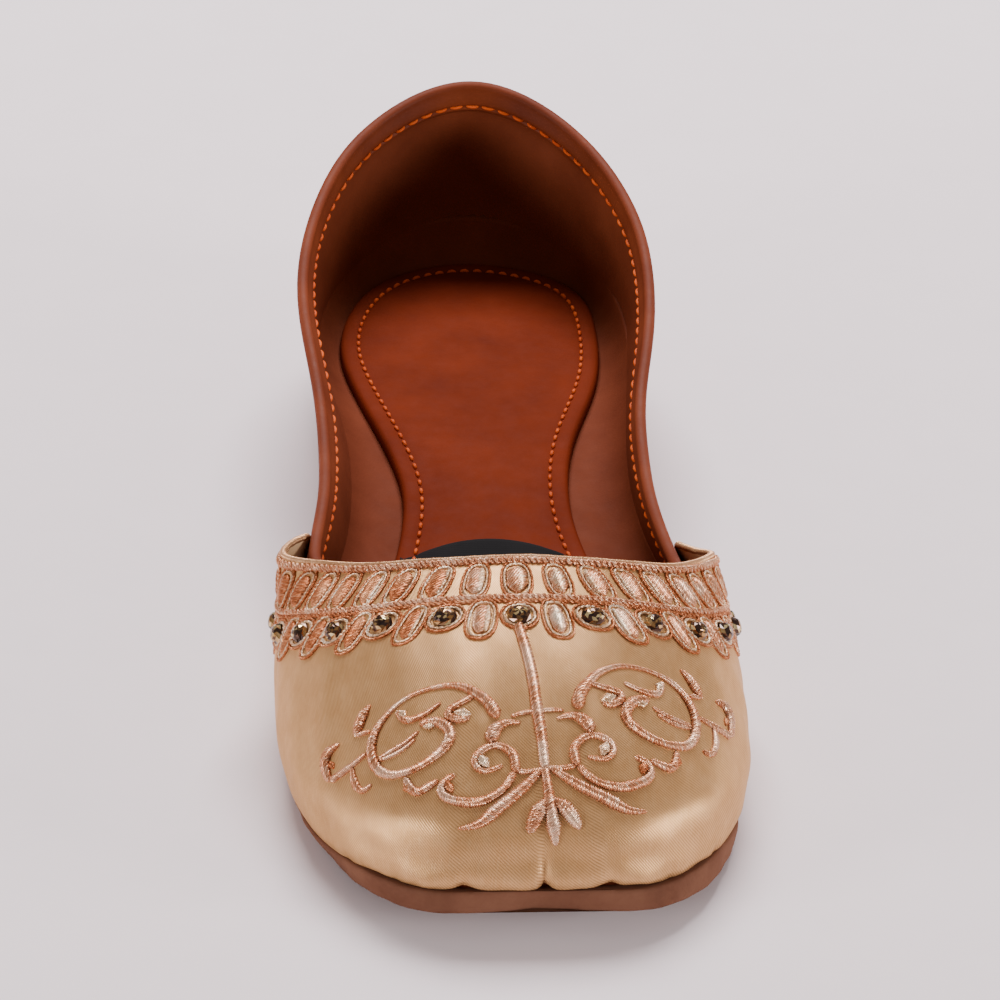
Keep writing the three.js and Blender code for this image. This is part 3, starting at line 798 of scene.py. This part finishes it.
def build_cove():
    """The lining's soft turn from the wall into the floor, up to the pad's edge."""
    count = 240
    t = np.arange(count) / count * len(SECTIONS)
    wall = upper_offset(t, COVE_HEIGHT, 0.2 - UPPER_WALL)
    lower = upper_offset(t, COVE_HEIGHT - 0.1, -0.1 - UPPER_WALL)
    place = np.arange(900) / 900 * len(PAD)
    edge = plan_ring(pad_at, 900, place, -0.6, lambda y: insole_top(y) + 0.5)
    gap = np.linalg.norm(edge[None, :, :2] - wall[:, None, :2], axis=-1)
    nearest = np.unwrap(gap.argmin(1) * 2 * np.pi / 900)
    drift = nearest - t * 2 * np.pi / len(SECTIONS)
    kernel = np.hanning(25) / np.hanning(25).sum()
    drift = np.convolve(np.concatenate([drift[-12:], drift, drift[:12]]), kernel, "valid")
    index = np.round((drift + t * 2 * np.pi / len(SECTIONS)) * 900 / (2 * np.pi)).astype(int) % 900
    foot = edge[index]
    down = unit(lower - wall) * np.linalg.norm(foot - wall, axis=-1)[:, None] * 0.45
    inward = (wall - foot) * np.array([0.35, 0.35, 0])
    share = np.linspace(0, 1, 12)[None, :, None]
    top = (1 - share) ** 3 * wall[:, None] + 3 * share * (1 - share) ** 2 * (wall + down)[:, None]
    top = top + 3 * share**2 * (1 - share) * (foot + inward)[:, None] + share**3 * foot[:, None]
    under = top[:, ::-1] - np.array([0, 0, 0.25])
    batch = Batch()
    batch.grid(np.concatenate([top, under], 1), close_u=True, close_v=True)
    batch.make("lining_cove", LINING_LEATHER, slot="lining_leather")


PAD_SEAM = 4.0  # the pad's seam lies this far inside its edge
PAD_CROWN = 0.4  # how far the filling swells the middle of the pad
# Profile of the pad from its underside: distance inside the edge, share of the thickness.
PAD_PROFILE = [
    (0.4, 0.0), (0.05, 0.12), (0.0, 0.4), (0.12, 0.7), (0.45, 0.9), (1.0, 1.0), (2.0, 1.04), (3.0, 1.01),
    (3.6, 0.95), (4.0, 0.9), (4.4, 0.95), (5.2, 1.01), (6.5, 1.04), (8.2, 1.06),
]


def build_pad():
    count = 360
    place = np.arange(count) / count * len(PAD)

    def height(share):
        return lambda y: insole_top(y) + GAP + share * PAD_THICKNESS

    rings = [plan_ring(pad_at, count, place, -inset, height(share)) for inset, share in PAD_PROFILE]
    batch = Batch()
    plate(batch, rings, height(0.0), height(PAD_PROFILE[-1][1]), 26, PAD_CROWN)
    piece = merged(batch.make("sock_pad_leather", PAD_LEATHER, slot="pad_leather"))
    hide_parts("sock_pad")
    seam = plan_ring(pad_at, count, place, -PAD_SEAM, height(0.94))
    seam = np.roll(seam, -(count * 2 // len(PAD)), 0)[: count * 19 // len(PAD)]
    upward = np.broadcast_to([0, 0, 1.0], seam.shape)
    stitch_row("pad_stitches", seam, upward, pitch=2.9, length=1.9, radius=0.4)
    return piece


LABEL_REAR = -0.8  # where the middle of the label's rear edge lies along Y
LABEL_MIDDLE = -0.6  # and across
LABEL_HALF = 19.8
LABEL_LENGTH = 27
LABEL_LIFT, LABEL_THICKNESS = 0.22, 0.16  # its top over the pad, and the cloth


def lay_on(surface, points, lift):
    """Drops a grid of plan points onto a surface, lift above it."""
    laid = np.zeros((*points.shape[:-1], 3))
    for place in np.ndindex(points.shape[:-1]):
        x, y = points[place]
        hit = surface.ray_cast(Vector((x * MM, y * MM, 0.05)), Vector((0, 0, -1)))[0]
        laid[place] = (x, y, hit.z / MM + lift)
    return laid


def build_label(pad):
    """The bare black label sewn across the pad under the throat."""
    surface = BVHTree.FromObject(pad, bpy.context.evaluated_depsgraph_get())
    x = np.linspace(-LABEL_HALF, LABEL_HALF, 60)
    arch = 6.2 * np.clip(np.abs(x) / 18, 0, 1) ** 2 - 1.6 * smooth((np.abs(x) - 17.6) / 1.5)
    share = np.linspace(0, 1, 30)[None, :]
    front = LABEL_REAR - LABEL_LENGTH
    y = front + (LABEL_REAR - arch - front)[:, None] * share
    plan = np.stack(np.broadcast_arrays(x[:, None] + LABEL_MIDDLE, y), -1)
    inside = np.abs(x) < LABEL_HALF - 1.0
    plan = plan[inside]
    grid = lay_on(surface, plan, LABEL_LIFT)
    under = grid[:, ::-1] - np.array([0, 0, LABEL_THICKNESS])
    batch = Batch()
    batch.grid(np.concatenate([grid, under], 1), close_v=True)
    batch.make("label", LABEL_CLOTH, slot="label_cloth")


# --- The vamp ---

VAMP_AROUND = 380
VAMP_ROWS = 110


def ragged_rise(s):
    return sum(rise * np.exp(-(((s - section) / wide) ** 2)) for section, wide, rise in RAGGED)


WING_TAIL = 10  # columns that carry each wing on behind the collar
TAIL_STEP = 0.05  # in sections


def wing_tail(end, start, v, depth_in, depth_out):
    """Columns that hug the upper behind a wing's end while its edge runs down: returns inside and outside."""
    step = np.arange(1, WING_TAIL + 1)[:, None] * TAIL_STEP
    section = end + np.sign(end) * step
    top = start - step * (0.75 + 0.5 * step)
    place = (section * (1 + VAMP_RAKE * (1 - v[None, :]))) % len(SECTIONS)
    height = v[None, :] * top
    return [upper_offset(place, height, np.broadcast_to(d, place.shape)) for d in (depth_in, depth_out)]


TAIL_TOPS = (0.966, 0.888)  # height shares of the upper that the wings' ends reach


def build_vamp():
    """The satin and its backing; returns their facing grids, outside and inside."""
    w = np.linspace(0, len(THROAT) - 1, VAMP_AROUND)
    v = np.concatenate([np.linspace(0, 0.3, 50), np.linspace(0.3, 1, VAMP_ROWS - 49)[1:]])
    ww, vv = w[:, None], v[None, :]
    s = throat_at(w)[:, 0][:, None]
    relief = satin_relief(s, vv)
    outside = vamp_offset(ww, vv, GAP + VAMP_WALL + relief)
    inside = vamp_offset(ww, vv, np.minimum(GAP + relief * 0.3, GAP + 0.2))
    rise = ragged_rise(s) * (1 - smooth(vv / 0.06))
    outside[..., 2] += rise
    inside[..., 2] += rise
    for row, start, first in zip((0.0, len(THROAT) - 1.0), TAIL_TOPS, (True, False)):
        tails = wing_tail(float(throat_at(row)[0]), start, v, 0.1, GAP + VAMP_WALL)
        if first:
            joined = (np.concatenate([tail[::-1], grid]) for tail, grid in zip(tails, (inside, outside)))
        else:
            joined = (np.concatenate([grid, tail]) for tail, grid in zip(tails, (inside, outside)))
        inside, outside = joined
    across = lengths_along(outside[:, VAMP_ROWS // 2])
    down = lengths_along(np.swapaxes(outside, 0, 1))
    uv = np.stack(np.broadcast_arrays(across[:, None], down.T), -1)
    batch = Batch()
    batch.grid(outside, uv=uv)
    batch.grid(np.stack([outside[:, -1], inside[:, -1]], 1))
    batch.grid(np.stack([inside[:, 0], outside[:, 0]], 1))
    for end in (0, -1):
        batch.grid(np.stack([outside[end], inside[end]], 1))
    outer_faces = len(batch.faces)
    batch.grid(inside)
    piece = batch.make("vamp_satin", SATIN, BACKING, slot="vamp_satin")
    for polygon in piece.data.polygons[outer_faces:]:
        polygon.material_index = 1
    merged(piece)
    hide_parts("vamp")
    return outside, inside


# --- Charts: places on the vamp given in millimetres, across and down ---


class Chart:
    """A grid of surface points and normals that can be read at any (across, down) in millimetres."""

    def __init__(self, across, down, points):
        self.across, self.down, self.points = across, down, points
        du, dv = np.gradient(points, axis=0), np.gradient(points, axis=1)
        normal = unit(np.cross(du, dv))
        if normal[..., 2].mean() < 0:
            normal = -normal
        self.normals = normal

    def read(self, across, down):
        i = np.interp(across, self.across, np.arange(len(self.across)))
        j = np.interp(down, self.down, np.arange(len(self.down)))
        i0 = np.clip(i.astype(int), 0, len(self.across) - 2)
        j0 = np.clip(j.astype(int), 0, len(self.down) - 2)
        f, g = (i - i0)[..., None], (j - j0)[..., None]

        def blend(grid):
            near = grid[i0, j0] * (1 - g) + grid[i0, j0 + 1] * g
            far = grid[i0 + 1, j0] * (1 - g) + grid[i0 + 1, j0 + 1] * g
            return near * (1 - f) + far * f

        return blend(self.points), unit(blend(self.normals))


BAND_DEPTH = 24.0
STEM_PLACE = 6.87  # row of THROAT under which the stem and its stone stand


def band_chart():
    """Along the throat edge, and down from it: the ground for the trim."""
    w = np.linspace(0, len(THROAT) - 1, 400)
    v = np.linspace(1, 0.2, 160)
    points = vamp_offset(w[:, None], v[None, :], GAP + VAMP_WALL)
    steps = np.linalg.norm(np.diff(points, axis=1), axis=-1)
    run = np.concatenate([np.zeros((len(w), 1)), np.cumsum(steps, 1)], 1)
    down = np.linspace(0, BAND_DEPTH, 49)
    heights = np.array([np.interp(down, row, v) for row in run])
    points = vamp_offset(np.broadcast_to(w[:, None], heights.shape), heights, GAP + VAMP_WALL)
    across = lengths_along(points[:, 20])
    across = across - np.interp(STEM_PLACE, w, across)
    return Chart(across, down, points)


STEM_FOOT = (7.13, 0.196)  # where the spear of the motif ends: row of THROAT and height share
STEM_TOP_DEPTH = 17.5  # where the stem starts, under the stone


def motif_chart(vamp_outside, band):
    """The ground for the scrolls: across the stem and down along it, in even steps over the surface."""
    nu, nv = vamp_outside.shape[:2]
    index = np.arange(nu * nv).reshape(nu, nv)
    quads = np.stack([index[:-1, :-1], index[1:, :-1], index[1:, 1:], index[:-1, 1:]], -1).reshape(-1, 4)
    surface = BVHTree.FromPolygons(vamp_outside.reshape(-1, 3).tolist(), quads.tolist())
    start = band.read(np.array([0.0]), np.array([STEM_TOP_DEPTH]))[0][0]
    end = vamp_offset(STEM_FOOT[0], STEM_FOOT[1], GAP + VAMP_WALL)
    stem = []
    for f in np.linspace(0, 1, 200):
        x, y = start[:2] + (end - start)[:2] * f
        stem.append(surface.ray_cast(Vector((x, y, 90)), Vector((0, 0, -1)))[0])
    stem = resample(np.array([tuple(p) for p in stem]), 1.0)
    line = unit((end - start) * np.array([1, 1, 0]))
    side = Vector((-line[1], line[0], 0))
    reach = 46
    points = np.zeros((2 * reach + 1, len(stem), 3))
    for j, foot in enumerate(stem):
        points[reach, j] = foot
        for sign in (-1, 1):
            place = Vector(foot)
            normal = surface.find_nearest(place)[1]
            for k in range(1, reach + 1):
                along = (side - normal * side.dot(normal)).normalized() * sign
                place, normal, _, _ = surface.find_nearest(place + along)
                points[reach + sign * k, j] = place
    across = np.arange(-reach, reach + 1.0)
    return Chart(across, lengths_along(stem), points)


# --- Embroidery ---

THREAD_PITCH = 0.5  # spacing of the laid threads along a cord


def spline(points, step):
    """A smooth path through given points, at an even step."""
    curve = curve_through(points, False)
    return resample(curve(np.linspace(0, len(points) - 1, 24 * len(points))), step)


def profile(share, values):
    return np.interp(share, np.linspace(0, 1, len(values)), values)


def laid_cord(batch, chart, points, widths, rise=0.4, lift=0.0, ends=0.9, sides=10):
    """Threads laid side by side across a path: ribbed, domed, a little uneven, closed at both ends."""
    path = spline(points, THREAD_PITCH / 2)
    run = lengths_along(path)
    width = profile(run / run[-1], widths)
    near_end = np.minimum(run, run[-1] - run)
    width = width * np.sqrt(np.clip(near_end / (ends * 0.5 * width + 1e-6), 0.04, 1))
    rib = np.where(np.arange(len(run)) % 2, 1.05, 0.86) * RNG.normal(1, 0.045, len(run))
    place, normal = chart.read(path[:, 0], path[:, 1])
    half = width / 2 * rib
    tall = (rise * width * 0.9 + 0.12) * rib
    tube(batch, place + normal * lift, normal, half, tall, sides, sink=0.3, slant=0.5)


def knot(batch, chart, centre, across, lean=0.0):
    """A rounded leaf or berry of laid threads."""
    turn = np.radians(lean)
    reach = np.array([np.cos(turn), np.sin(turn)]) * across * 0.55
    middle = np.array(centre)
    line = [middle - reach, middle, middle + reach]
    laid_cord(batch, chart, line, [0.7 * across, across, 0.75 * across], 0.36, 0.1, 1.6, 12)


def twisted_pair(batch, chart, start, end, depth, swing, strand, pitch=2.3):
    """Two strands twisted together along the throat at one depth."""
    along = np.arange(start, end, pitch / 10)
    place, normal = chart.read(along, np.full(len(along), depth))
    _, side, up = frames_along(place, normal)
    turn = 2 * np.pi * lengths_along(place) / pitch
    for phase in (0, np.pi):
        angle = (turn + phase)[:, None]
        path = place + (np.cos(angle) * side + (0.65 * np.sin(angle) + 0.45) * up) * swing
        thick = strand * (1 + 0.06 * RNG.standard_normal(len(path)))
        tube(batch, path, up, thick, thick, 7, sink=strand, slant=1.0)


def ring_cord(batch, chart, outline, thick, lift=0.1):
    """A thin couched cord round a closed outline, with small slanted ribs."""
    closed = np.concatenate([outline, outline[:1]])
    path = resample(closed, 0.3)[:-1]
    place, normal = chart.read(path[:, 0], path[:, 1])
    rib = np.where(np.arange(len(path)) % 3, 1.0, 0.66) * RNG.normal(1, 0.05, len(path))
    half, tall = thick * rib, thick * 1.3 * rib
    tube(batch, place + normal * lift, normal, half, tall, 8, sink=0.2, slant=1.2, close=True)


def barrel(centre, top, tall, wide, square=2.6, count=48):
    """A petal's outline: a rounded barrel, in chart coordinates."""
    angle = np.linspace(0, 2 * np.pi, count, endpoint=False)
    c, s = np.cos(angle), np.sin(angle)
    power = 2 / square
    x = np.sign(c) * np.abs(c) ** power * wide / 2
    y = np.sign(s) * np.abs(s) ** power * tall / 2
    return np.stack([centre + x, top + tall / 2 + y], -1)


# The trim, in mm: places along the throat on each side of the stem, and depths below its edge.
UPPER_PLACES = [0, 8.2, 16.2, 23.8, 30.4, 36.9, 43.2, 49.5, 55.8, 62.1, 68.4]
# Stones and petals take turns along the lower row.
LOWER_PLACES = [0, 6.7, 13.1, 19.1, 24.7, 30.0, 34.6, 39.2, 43.8, 48.4, 53.0, 57.6, 62.2, 66.8]
EDGE_BRAID = 1.45
PETAL_TOP, PETAL_TALL, PETAL_WIDE = 2.9, 7.0, 3.9
MIDDLE_BRAID = 11.0
STONE_DEPTH, STONE_WIDE, STONE_TALL = 15.2, 4.9, 4.2
LOWER_TOP, LOWER_TALL, LOWER_WIDE = 12.3, 7.2, 3.3
SIDE_SHARE = 0.86  # how much smaller the trim is worked round the sides
PETAL_LEAN = 0.24  # how far the petals fan out beyond the throat's own square


def sized(place):
    return 1 + (SIDE_SHARE - 1) * float(smooth((abs(place) - 12) / 20))


def lean(points, centre, middle):
    """Leans chart points outward about a petal's middle, more so away from the stem."""
    points = np.array(points, float)
    tilt = PETAL_LEAN * np.clip(centre / 18, -1, 1)
    points[:, 0] += tilt * (points[:, 1] - middle)
    return points


# Petals with a painted highlight, a pale half laid where the light catches them: place along the throat, share
# of the width that is pale, and to which side.
PAINTED_HIGHLIGHT_HALVES = {
    -16.2: (0.3, 1), -8.2: (0.5, 1), 0: (0.62, 0.6), 8.2: (0.8, 0.1), 16.2: (0.5, -0.9), -19.1: (0.3, 1),
    -6.7: (0.5, 1), 6.7: (0.75, 0.2), 19.1: (0.4, -1), 23.8: (0.3, -1), -30.4: (0.25, 1), 30.4: (0.25, -1),
}


# Painted highlight: pale thread laid over the side of a petal that faces the light.
def painted_highlight_half(batch, chart, centre, top, tall, wide):
    share, side = PAINTED_HIGHLIGHT_HALVES[centre]
    shift = side * wide * (1 - share) / 2
    middle = top + tall / 2
    line = [(centre + shift, top + 0.5), (centre + shift * 1.05, middle), (centre + shift, top + tall - 0.5)]
    widths = [0.5 * share * wide, share * wide, 0.6 * share * wide]
    laid_cord(batch, chart, lean(line, centre, middle), widths, 0.3, 0.32, 0.7, 10)


def petal(fill, inner, outer, chart, centre, top, tall, wide):
    """Threads laid across a petal, inside two outlines of thin cord."""
    bend = RNG.normal(0, 0.12)
    middle = top + tall / 2
    line = [(centre - bend, top + 0.3), (centre, middle), (centre + bend, top + tall - 0.3)]
    wide = wide * sized(centre) * (1 + 0.05 * RNG.standard_normal())
    widths = [0.7 * wide, 0.95 * wide, wide, 0.97 * wide, 0.75 * wide]
    laid_cord(fill, chart, lean(line, centre, middle), widths, 0.24, 0.05, 0.7, 14)
    if centre in PAINTED_HIGHLIGHT_HALVES:
        painted_highlight_half(inner, chart, centre, top, tall, wide)
    for batch, grow, thick in ((inner, 0.75, 0.30), (outer, 1.95, 0.30)):
        outline = barrel(centre, top - grow / 2, tall + grow, wide + grow)
        ring_cord(batch, chart, lean(outline, centre, middle), thick)


def stone_setting(inner, outer, stones, chart, centre):
    wide, tall = STONE_WIDE * sized(centre), STONE_TALL
    for batch, grow, thick in ((inner, 0.6, 0.36), (outer, 1.9, 0.32)):
        outline = barrel(centre, STONE_DEPTH - (tall + grow) / 2, tall + grow, wide + grow, 2.1)
        ring_cord(batch, chart, lean(outline, centre, STONE_DEPTH), thick)
    stone(stones, chart, centre, wide, tall)


def build_trim(band):
    rose, copper, pale, cords, stones = Batch(), Batch(), Batch(), Batch(), Batch()
    for side in (1, -1):
        for place in UPPER_PLACES[0 if side > 0 else 1 :]:
            # Painted shade: the inner side's petals away from the middle take the darker copper thread.
            fill = copper if side < 0 and place > 12 else rose
            petal(fill, pale, copper, band, side * place, PETAL_TOP, PETAL_TALL, PETAL_WIDE)
        for number, place in enumerate(LOWER_PLACES):
            if number == 0 and side < 0:
                continue
            if number % 2:
                # Painted shade: the inner side's petals away from the middle take the darker copper thread.
                fill = copper if side < 0 and place > 12 else rose
                petal(fill, pale, copper, band, side * place, LOWER_TOP, LOWER_TALL, LOWER_WIDE)
            else:
                stone_setting(pale, copper, stones, band, side * place)
    start, end = band.across[0] + 2, band.across[-1] - 2
    twisted_pair(cords, band, start, end, EDGE_BRAID, 0.46, 0.40)
    twisted_pair(cords, band, start, end, MIDDLE_BRAID - 0.3, 0.36, 0.36)
    twisted_pair(copper, band, start, end, MIDDLE_BRAID + 0.6, 0.26, 0.28)
    rose.make("trim_petals", ROSE_THREAD, slot="thread")
    cords.make("trim_braids", ROSE_THREAD, slot="thread")
    copper.make("trim_copper", COPPER_THREAD, slot="thread")
    pale.make("trim_pale", PALE_THREAD, slot="thread")
    finish_stones(stones)


STONE_SIDES = 12
# Rings of a stone from its foot: share of the half width, height in mm, turned by half a side or not.
STONE_RINGS = [
    (0.94, -0.2, 0), (1.0, 0.35, 0), (0.84, 1.05, 1),
    (0.62, 1.55, 0), (0.40, 1.75, 1), (0.02, 1.8, 0),
]


def stone(batch, chart, centre, wide, tall):
    """A faceted oval stone set flat on the band."""
    rings = []
    for share, height, turned in STONE_RINGS:
        angle = (np.arange(STONE_SIDES) + 0.5 * turned) * 2 * np.pi / STONE_SIDES
        middle, normal = chart.read(np.array([centre]), np.array([STONE_DEPTH]))
        ahead = chart.read(np.array([centre + 0.5]), np.array([STONE_DEPTH]))[0]
        side = unit(ahead - middle)
        down = unit(np.cross(normal, side))
        flat = side * np.cos(angle)[:, None] * wide / 2 + down * np.sin(angle)[:, None] * tall / 2
        rings.append(middle + flat * share + normal * (height + 0.1))
    batch.grid(np.stack(rings, 1), close_u=True)


def finish_stones(batch):
    piece = batch.make("crystals", GLASS, flat=True, slot="crystal")
    mesh = piece.data
    # Painted glints: a random brightness for each facet, which the glass turns into bright and dark facets.
    shade = mesh.attributes.new("facet", "FLOAT", "FACE")
    shade.data.foreach_set("value", RNG.random(len(mesh.polygons)).astype(np.float32))


def build_hem(outside, inside):
    """The vamp's folded edge, laid round the throat."""
    edge = resample((outside[:, -1] + inside[:, -1]) / 2, 0.4)
    below = resample((outside[:, -3] + inside[:, -3]) / 2, 0.4)
    below = below[np.linspace(0, len(below) - 1, len(edge)).astype(int)]
    run = np.arange(len(edge))
    wave = 1 + 0.05 * np.sin(run * 0.23) + 0.04 * np.sin(run * 0.71)
    batch = Batch()
    tube(batch, edge, unit(edge - below), 0.72 * wave, 0.5, 12, sink=1.0)
    batch.make("throat_hem", HEM_THREAD, slot="vamp_satin")


# The motif, in mm: across from the stem and down along it from under the stone. Each stroke is its widths from
# start to end, then the places it runs through. Strokes in SIDE_STROKES are worked on both sides of the stem.
STROKE_SHARE = 1.2  # the laid threads stand a little wider than the lines they follow
STEM_STROKES = [
    ([1.8, 1.9, 1.9, 1.7], [(-0.6, -2.2), (0.3, 9), (0.1, 18), (0, 25), (-0.3, 31.4)]),
    ([1.6, 1.5, 2.2, 2.4, 0.9], [(-0.3, 30.6), (-0.2, 35), (-0.2, 38.4), (-0.1, 42), (0.1, 46)]),
]
SIDE_STROKES = [
    ([1.0, 2.5, 2.4, 1.2], [(-0.7, 37), (-2.8, 39.6), (-4.8, 43.2)]),
    ([0.8, 0.8, 0.6], [(0.2, 19.4), (-2.5, 19.3), (-5, 19.7)]),
    ([0.6, 1.2, 2.2, 2.4], [(-3.4, 21.3), (-5.6, 20.9), (-7.6, 21.5), (-9, 23), (-9.4, 24.8)]),
    ([0.9, 0.9, 1.0], [(0, 31), (-3, 31.3), (-5.6, 31)]),
    ([1.1, 1.9, 2.1, 0.5], [(-0.8, 31), (-3.5, 33.3), (-7, 35.9), (-10.8, 38.4), (-14, 40.5), (-17.8, 41)]),
    (
        [1.7, 1.5, 1.2, 1.3, 1.0, 0.7],
        [(-5.8, 31.2), (-5.6, 29), (-6, 27.2), (-7.8, 25.7), (-10, 25.5), (-12, 26.5), (-13.1, 28.2),
         (-12.4, 29.8), (-10.7, 30.3), (-8, 29.6)],
    ),
    (
        [1.2, 1.4, 1.8, 1.5, 1.0],
        [(-6, 31), (-7.7, 33.4), (-10, 35.1), (-13.3, 36.1), (-16.8, 35.6), (-19.4, 34.2), (-19.9, 32.4),
         (-18.7, 30.9), (-17, 30.2)],
    ),
    ([0.9, 1.5, 1.5, 1.1], [(-20.2, 30.7), (-22.8, 31.8), (-24.9, 31.9), (-26.1, 30), (-26.5, 28.3)]),
    (
        [2.2, 1.9, 1.2, 0.8, 0.8, 1.2, 1.7, 1.8, 1.5, 1.3, 1.6, 1.9, 1.5],
        [(-7.7, 19.8), (-8.6, 16.6), (-10.6, 14.2), (-12.6, 12.4), (-15.5, 11.1), (-19.2, 10.6), (-23, 10.9),
         (-26.5, 12), (-29.4, 13.8), (-31.6, 16.4), (-32.7, 19.8), (-32.2, 23.5), (-30, 26.3), (-26.4, 27.3),
         (-22.8, 26.8), (-19.8, 25.4), (-17.5, 23.4), (-16.8, 21.2), (-17.8, 19.3), (-19.8, 18.1), (-22.2, 18)],
    ),
    (
        [1.0, 1.2, 1.5, 1.2],
        [(-10.7, 14.2), (-13.2, 15.3), (-15.7, 16.3), (-16.5, 17.8), (-14.7, 19), (-12.6, 18.8)],
    ),
    ([0.7, 1.0, 1.3, 1.0], [(-17.6, 14.4), (-20.4, 15.8), (-23.4, 16.3), (-25.3, 15.3), (-26.1, 13)]),
    ([0.7, 0.9, 0.8], [(-22.6, 19.4), (-25.6, 20.8), (-28.4, 21.3), (-31.4, 22)]),
    ([0.6, 0.8, 0.7], [(-23.4, 20.8), (-26.8, 22.2), (-31.4, 22.4)]),
    ([0.6, 1.9, 2.1, 1.0], [(-31.2, 9.2), (-33, 10.9), (-34.4, 13), (-35.6, 14.8)]),
    ([0.7, 0.9, 0.8], [(-32.2, 15.2), (-33.6, 14.9), (-35.2, 14.8)]),
    ([0.8, 1.3, 1.4], [(-33.8, 19.6), (-37.2, 20.7), (-40.4, 21.3), (-43, 21.8)]),
    ([1.3, 1.9, 2.1, 0.8], [(-43.2, 21.8), (-43.6, 18), (-42.4, 15.2), (-39.4, 14.4)]),
    ([0.8, 1.4, 1.2, 0.8], [(-37.4, 21.2), (-37.4, 24.6), (-36, 27.3), (-33.6, 27)]),
]
# Leaves and berries at the ends of the scrolls: across, down, width, lean in degrees.
BERRIES = [
    (-11.4, 28.4, 2.9, 60),
    (-13.9, 17.9, 3.0, 20),
    (-20.4, 18.9, 2.3, 10),
    (-25.2, 14.3, 2.2, 60),
    (-26.3, 30.6, 2.3, 70),
    (-18.4, 32.4, 2.4, 70),
    (-42.0, 18.4, 1.8, 75),
]


def build_motif(chart):
    rose, copper, pale = Batch(), Batch(), Batch()
    for widths, points in STEM_STROKES:
        laid_cord(rose, chart, points, np.array(widths) * STROKE_SHARE)
    for side in (1, -1):
        for number, (widths, points) in enumerate(SIDE_STROKES):
            turned = [(side * across, down) for across, down in points]
            laid_cord(rose, chart, turned, np.array(widths) * STROKE_SHARE, lift=0.03 * (number % 3))
        for number, (across, down, wide, lean) in enumerate(BERRIES):
            # The later berries take the darker copper thread and the first ones the pale thread: partly threads
            # of those tones, partly painted shade and painted highlight.
            target = copper if number > 3 else pale
            knot(target, chart, (side * across, down), wide, side * lean)
    rose.make("motif_rose", ROSE_THREAD, slot="thread")
    copper.make("motif_copper", COPPER_THREAD, slot="thread")
    pale.make("motif_pale", PALE_THREAD, slot="thread")


# --- The shoe ---

build_upper()
build_collar_stitches()
build_outsole()
build_insole()
build_cove()
build_label(build_pad())
VAMP_OUTSIDE, VAMP_INSIDE = build_vamp()
build_hem(VAMP_OUTSIDE, VAMP_INSIDE)
BAND = band_chart()
build_trim(BAND)
build_motif(motif_chart(VAMP_OUTSIDE, BAND))

# --- Floor, light and camera ---


def plain(name, color, roughness):
    n = Nodes(name)
    grain = n.noise(60, 4, 0.6, n.place())
    tone = n.mix(n.ramp(grain, (0.4, (0, 0, 0)), (0.6, (0.04,) * 3)), color, srgb(200, 190, 192))
    return n.finish(Base_Color=tone, Roughness=roughness, Specular_IOR_Level=0.2)


def build_floor():
    mesh = bpy.data.meshes.new("floor")
    reach = 4.0
    corners = [(-reach, -reach, 0), (reach, -reach, 0), (reach, reach, 0), (-reach, reach, 0)]
    mesh.from_pydata(corners, [], [(0, 1, 2, 3)])
    mesh.materials.append(plain("floor_paper", srgb(240, 228, 233), 0.85))
    floor = bpy.data.objects.new("floor", mesh)
    bpy.context.collection.objects.link(floor)


def soft_light(name, place, target, size, watts, color):
    light = bpy.data.lights.new(name, "AREA")
    light.shape = "RECTANGLE"
    light.size, light.size_y = size
    light.energy = watts
    light.color = color[:3]
    lamp = bpy.data.objects.new(name, light)
    bpy.context.collection.objects.link(lamp)
    lamp.location = place
    aim = Vector(target) - Vector(place)
    lamp.rotation_euler = aim.to_track_quat("-Z", "Y").to_euler()


def build_lights():
    soft_light("above", (0.05, 0.75, 1.2), (0, 0.05, 0.03), (0.9, 0.5), 38.0, (1.0, 0.97, 0.975))
    soft_light("left", (-1.1, -0.62, 0.24), (0, -0.1, 0.02), (0.4, 0.3), 12.0, (1.0, 0.97, 0.94))
    soft_light("right", (1.15, -0.5, 0.26), (0, -0.1, 0.02), (0.4, 0.3), 13.0, (1.0, 0.97, 0.94))
    world = bpy.data.worlds.new("studio")
    world.use_nodes = True
    world.node_tree.nodes["Background"].inputs["Color"].default_value = (1.0, 0.87, 0.83, 1)
    world.node_tree.nodes["Background"].inputs["Strength"].default_value = 0.32
    bpy.context.scene.world = world


# The camera stands in front of the toe and looks down along the shoe.
CAMERA_PLACE = Vector((-63.0, -820.5, 519.4)) * MM
CAMERA_PITCH, CAMERA_YAW = 31.29, 0.66  # degrees down, and round towards the outer side
SHOE_CENTRE = Vector((1.0, -8.0, 26.0)) * MM
CAMERA_LENS = 168.0


def build_camera():
    """A level camera at the pitch and yaw above, turned the short way to the shoe's middle."""
    pitch, yaw = np.radians(CAMERA_PITCH), np.radians(CAMERA_YAW)
    forward = Vector((np.sin(yaw) * np.cos(pitch), np.cos(yaw) * np.cos(pitch), -np.sin(pitch)))
    right = Vector((np.cos(yaw), -np.sin(yaw), 0))
    up = right.cross(forward)
    level = Matrix((right, up, -forward)).transposed()
    turn = forward.rotation_difference(SHOE_CENTRE - CAMERA_PLACE)
    data = bpy.data.cameras.new("camera")
    data.lens = CAMERA_LENS
    data.clip_start = 0.05
    camera = bpy.data.objects.new("camera", data)
    camera.matrix_world = Matrix.Translation(CAMERA_PLACE) @ (turn.to_matrix() @ level).to_4x4()
    bpy.context.collection.objects.link(camera)
    bpy.context.scene.camera = camera


build_floor()
build_lights()
build_camera()
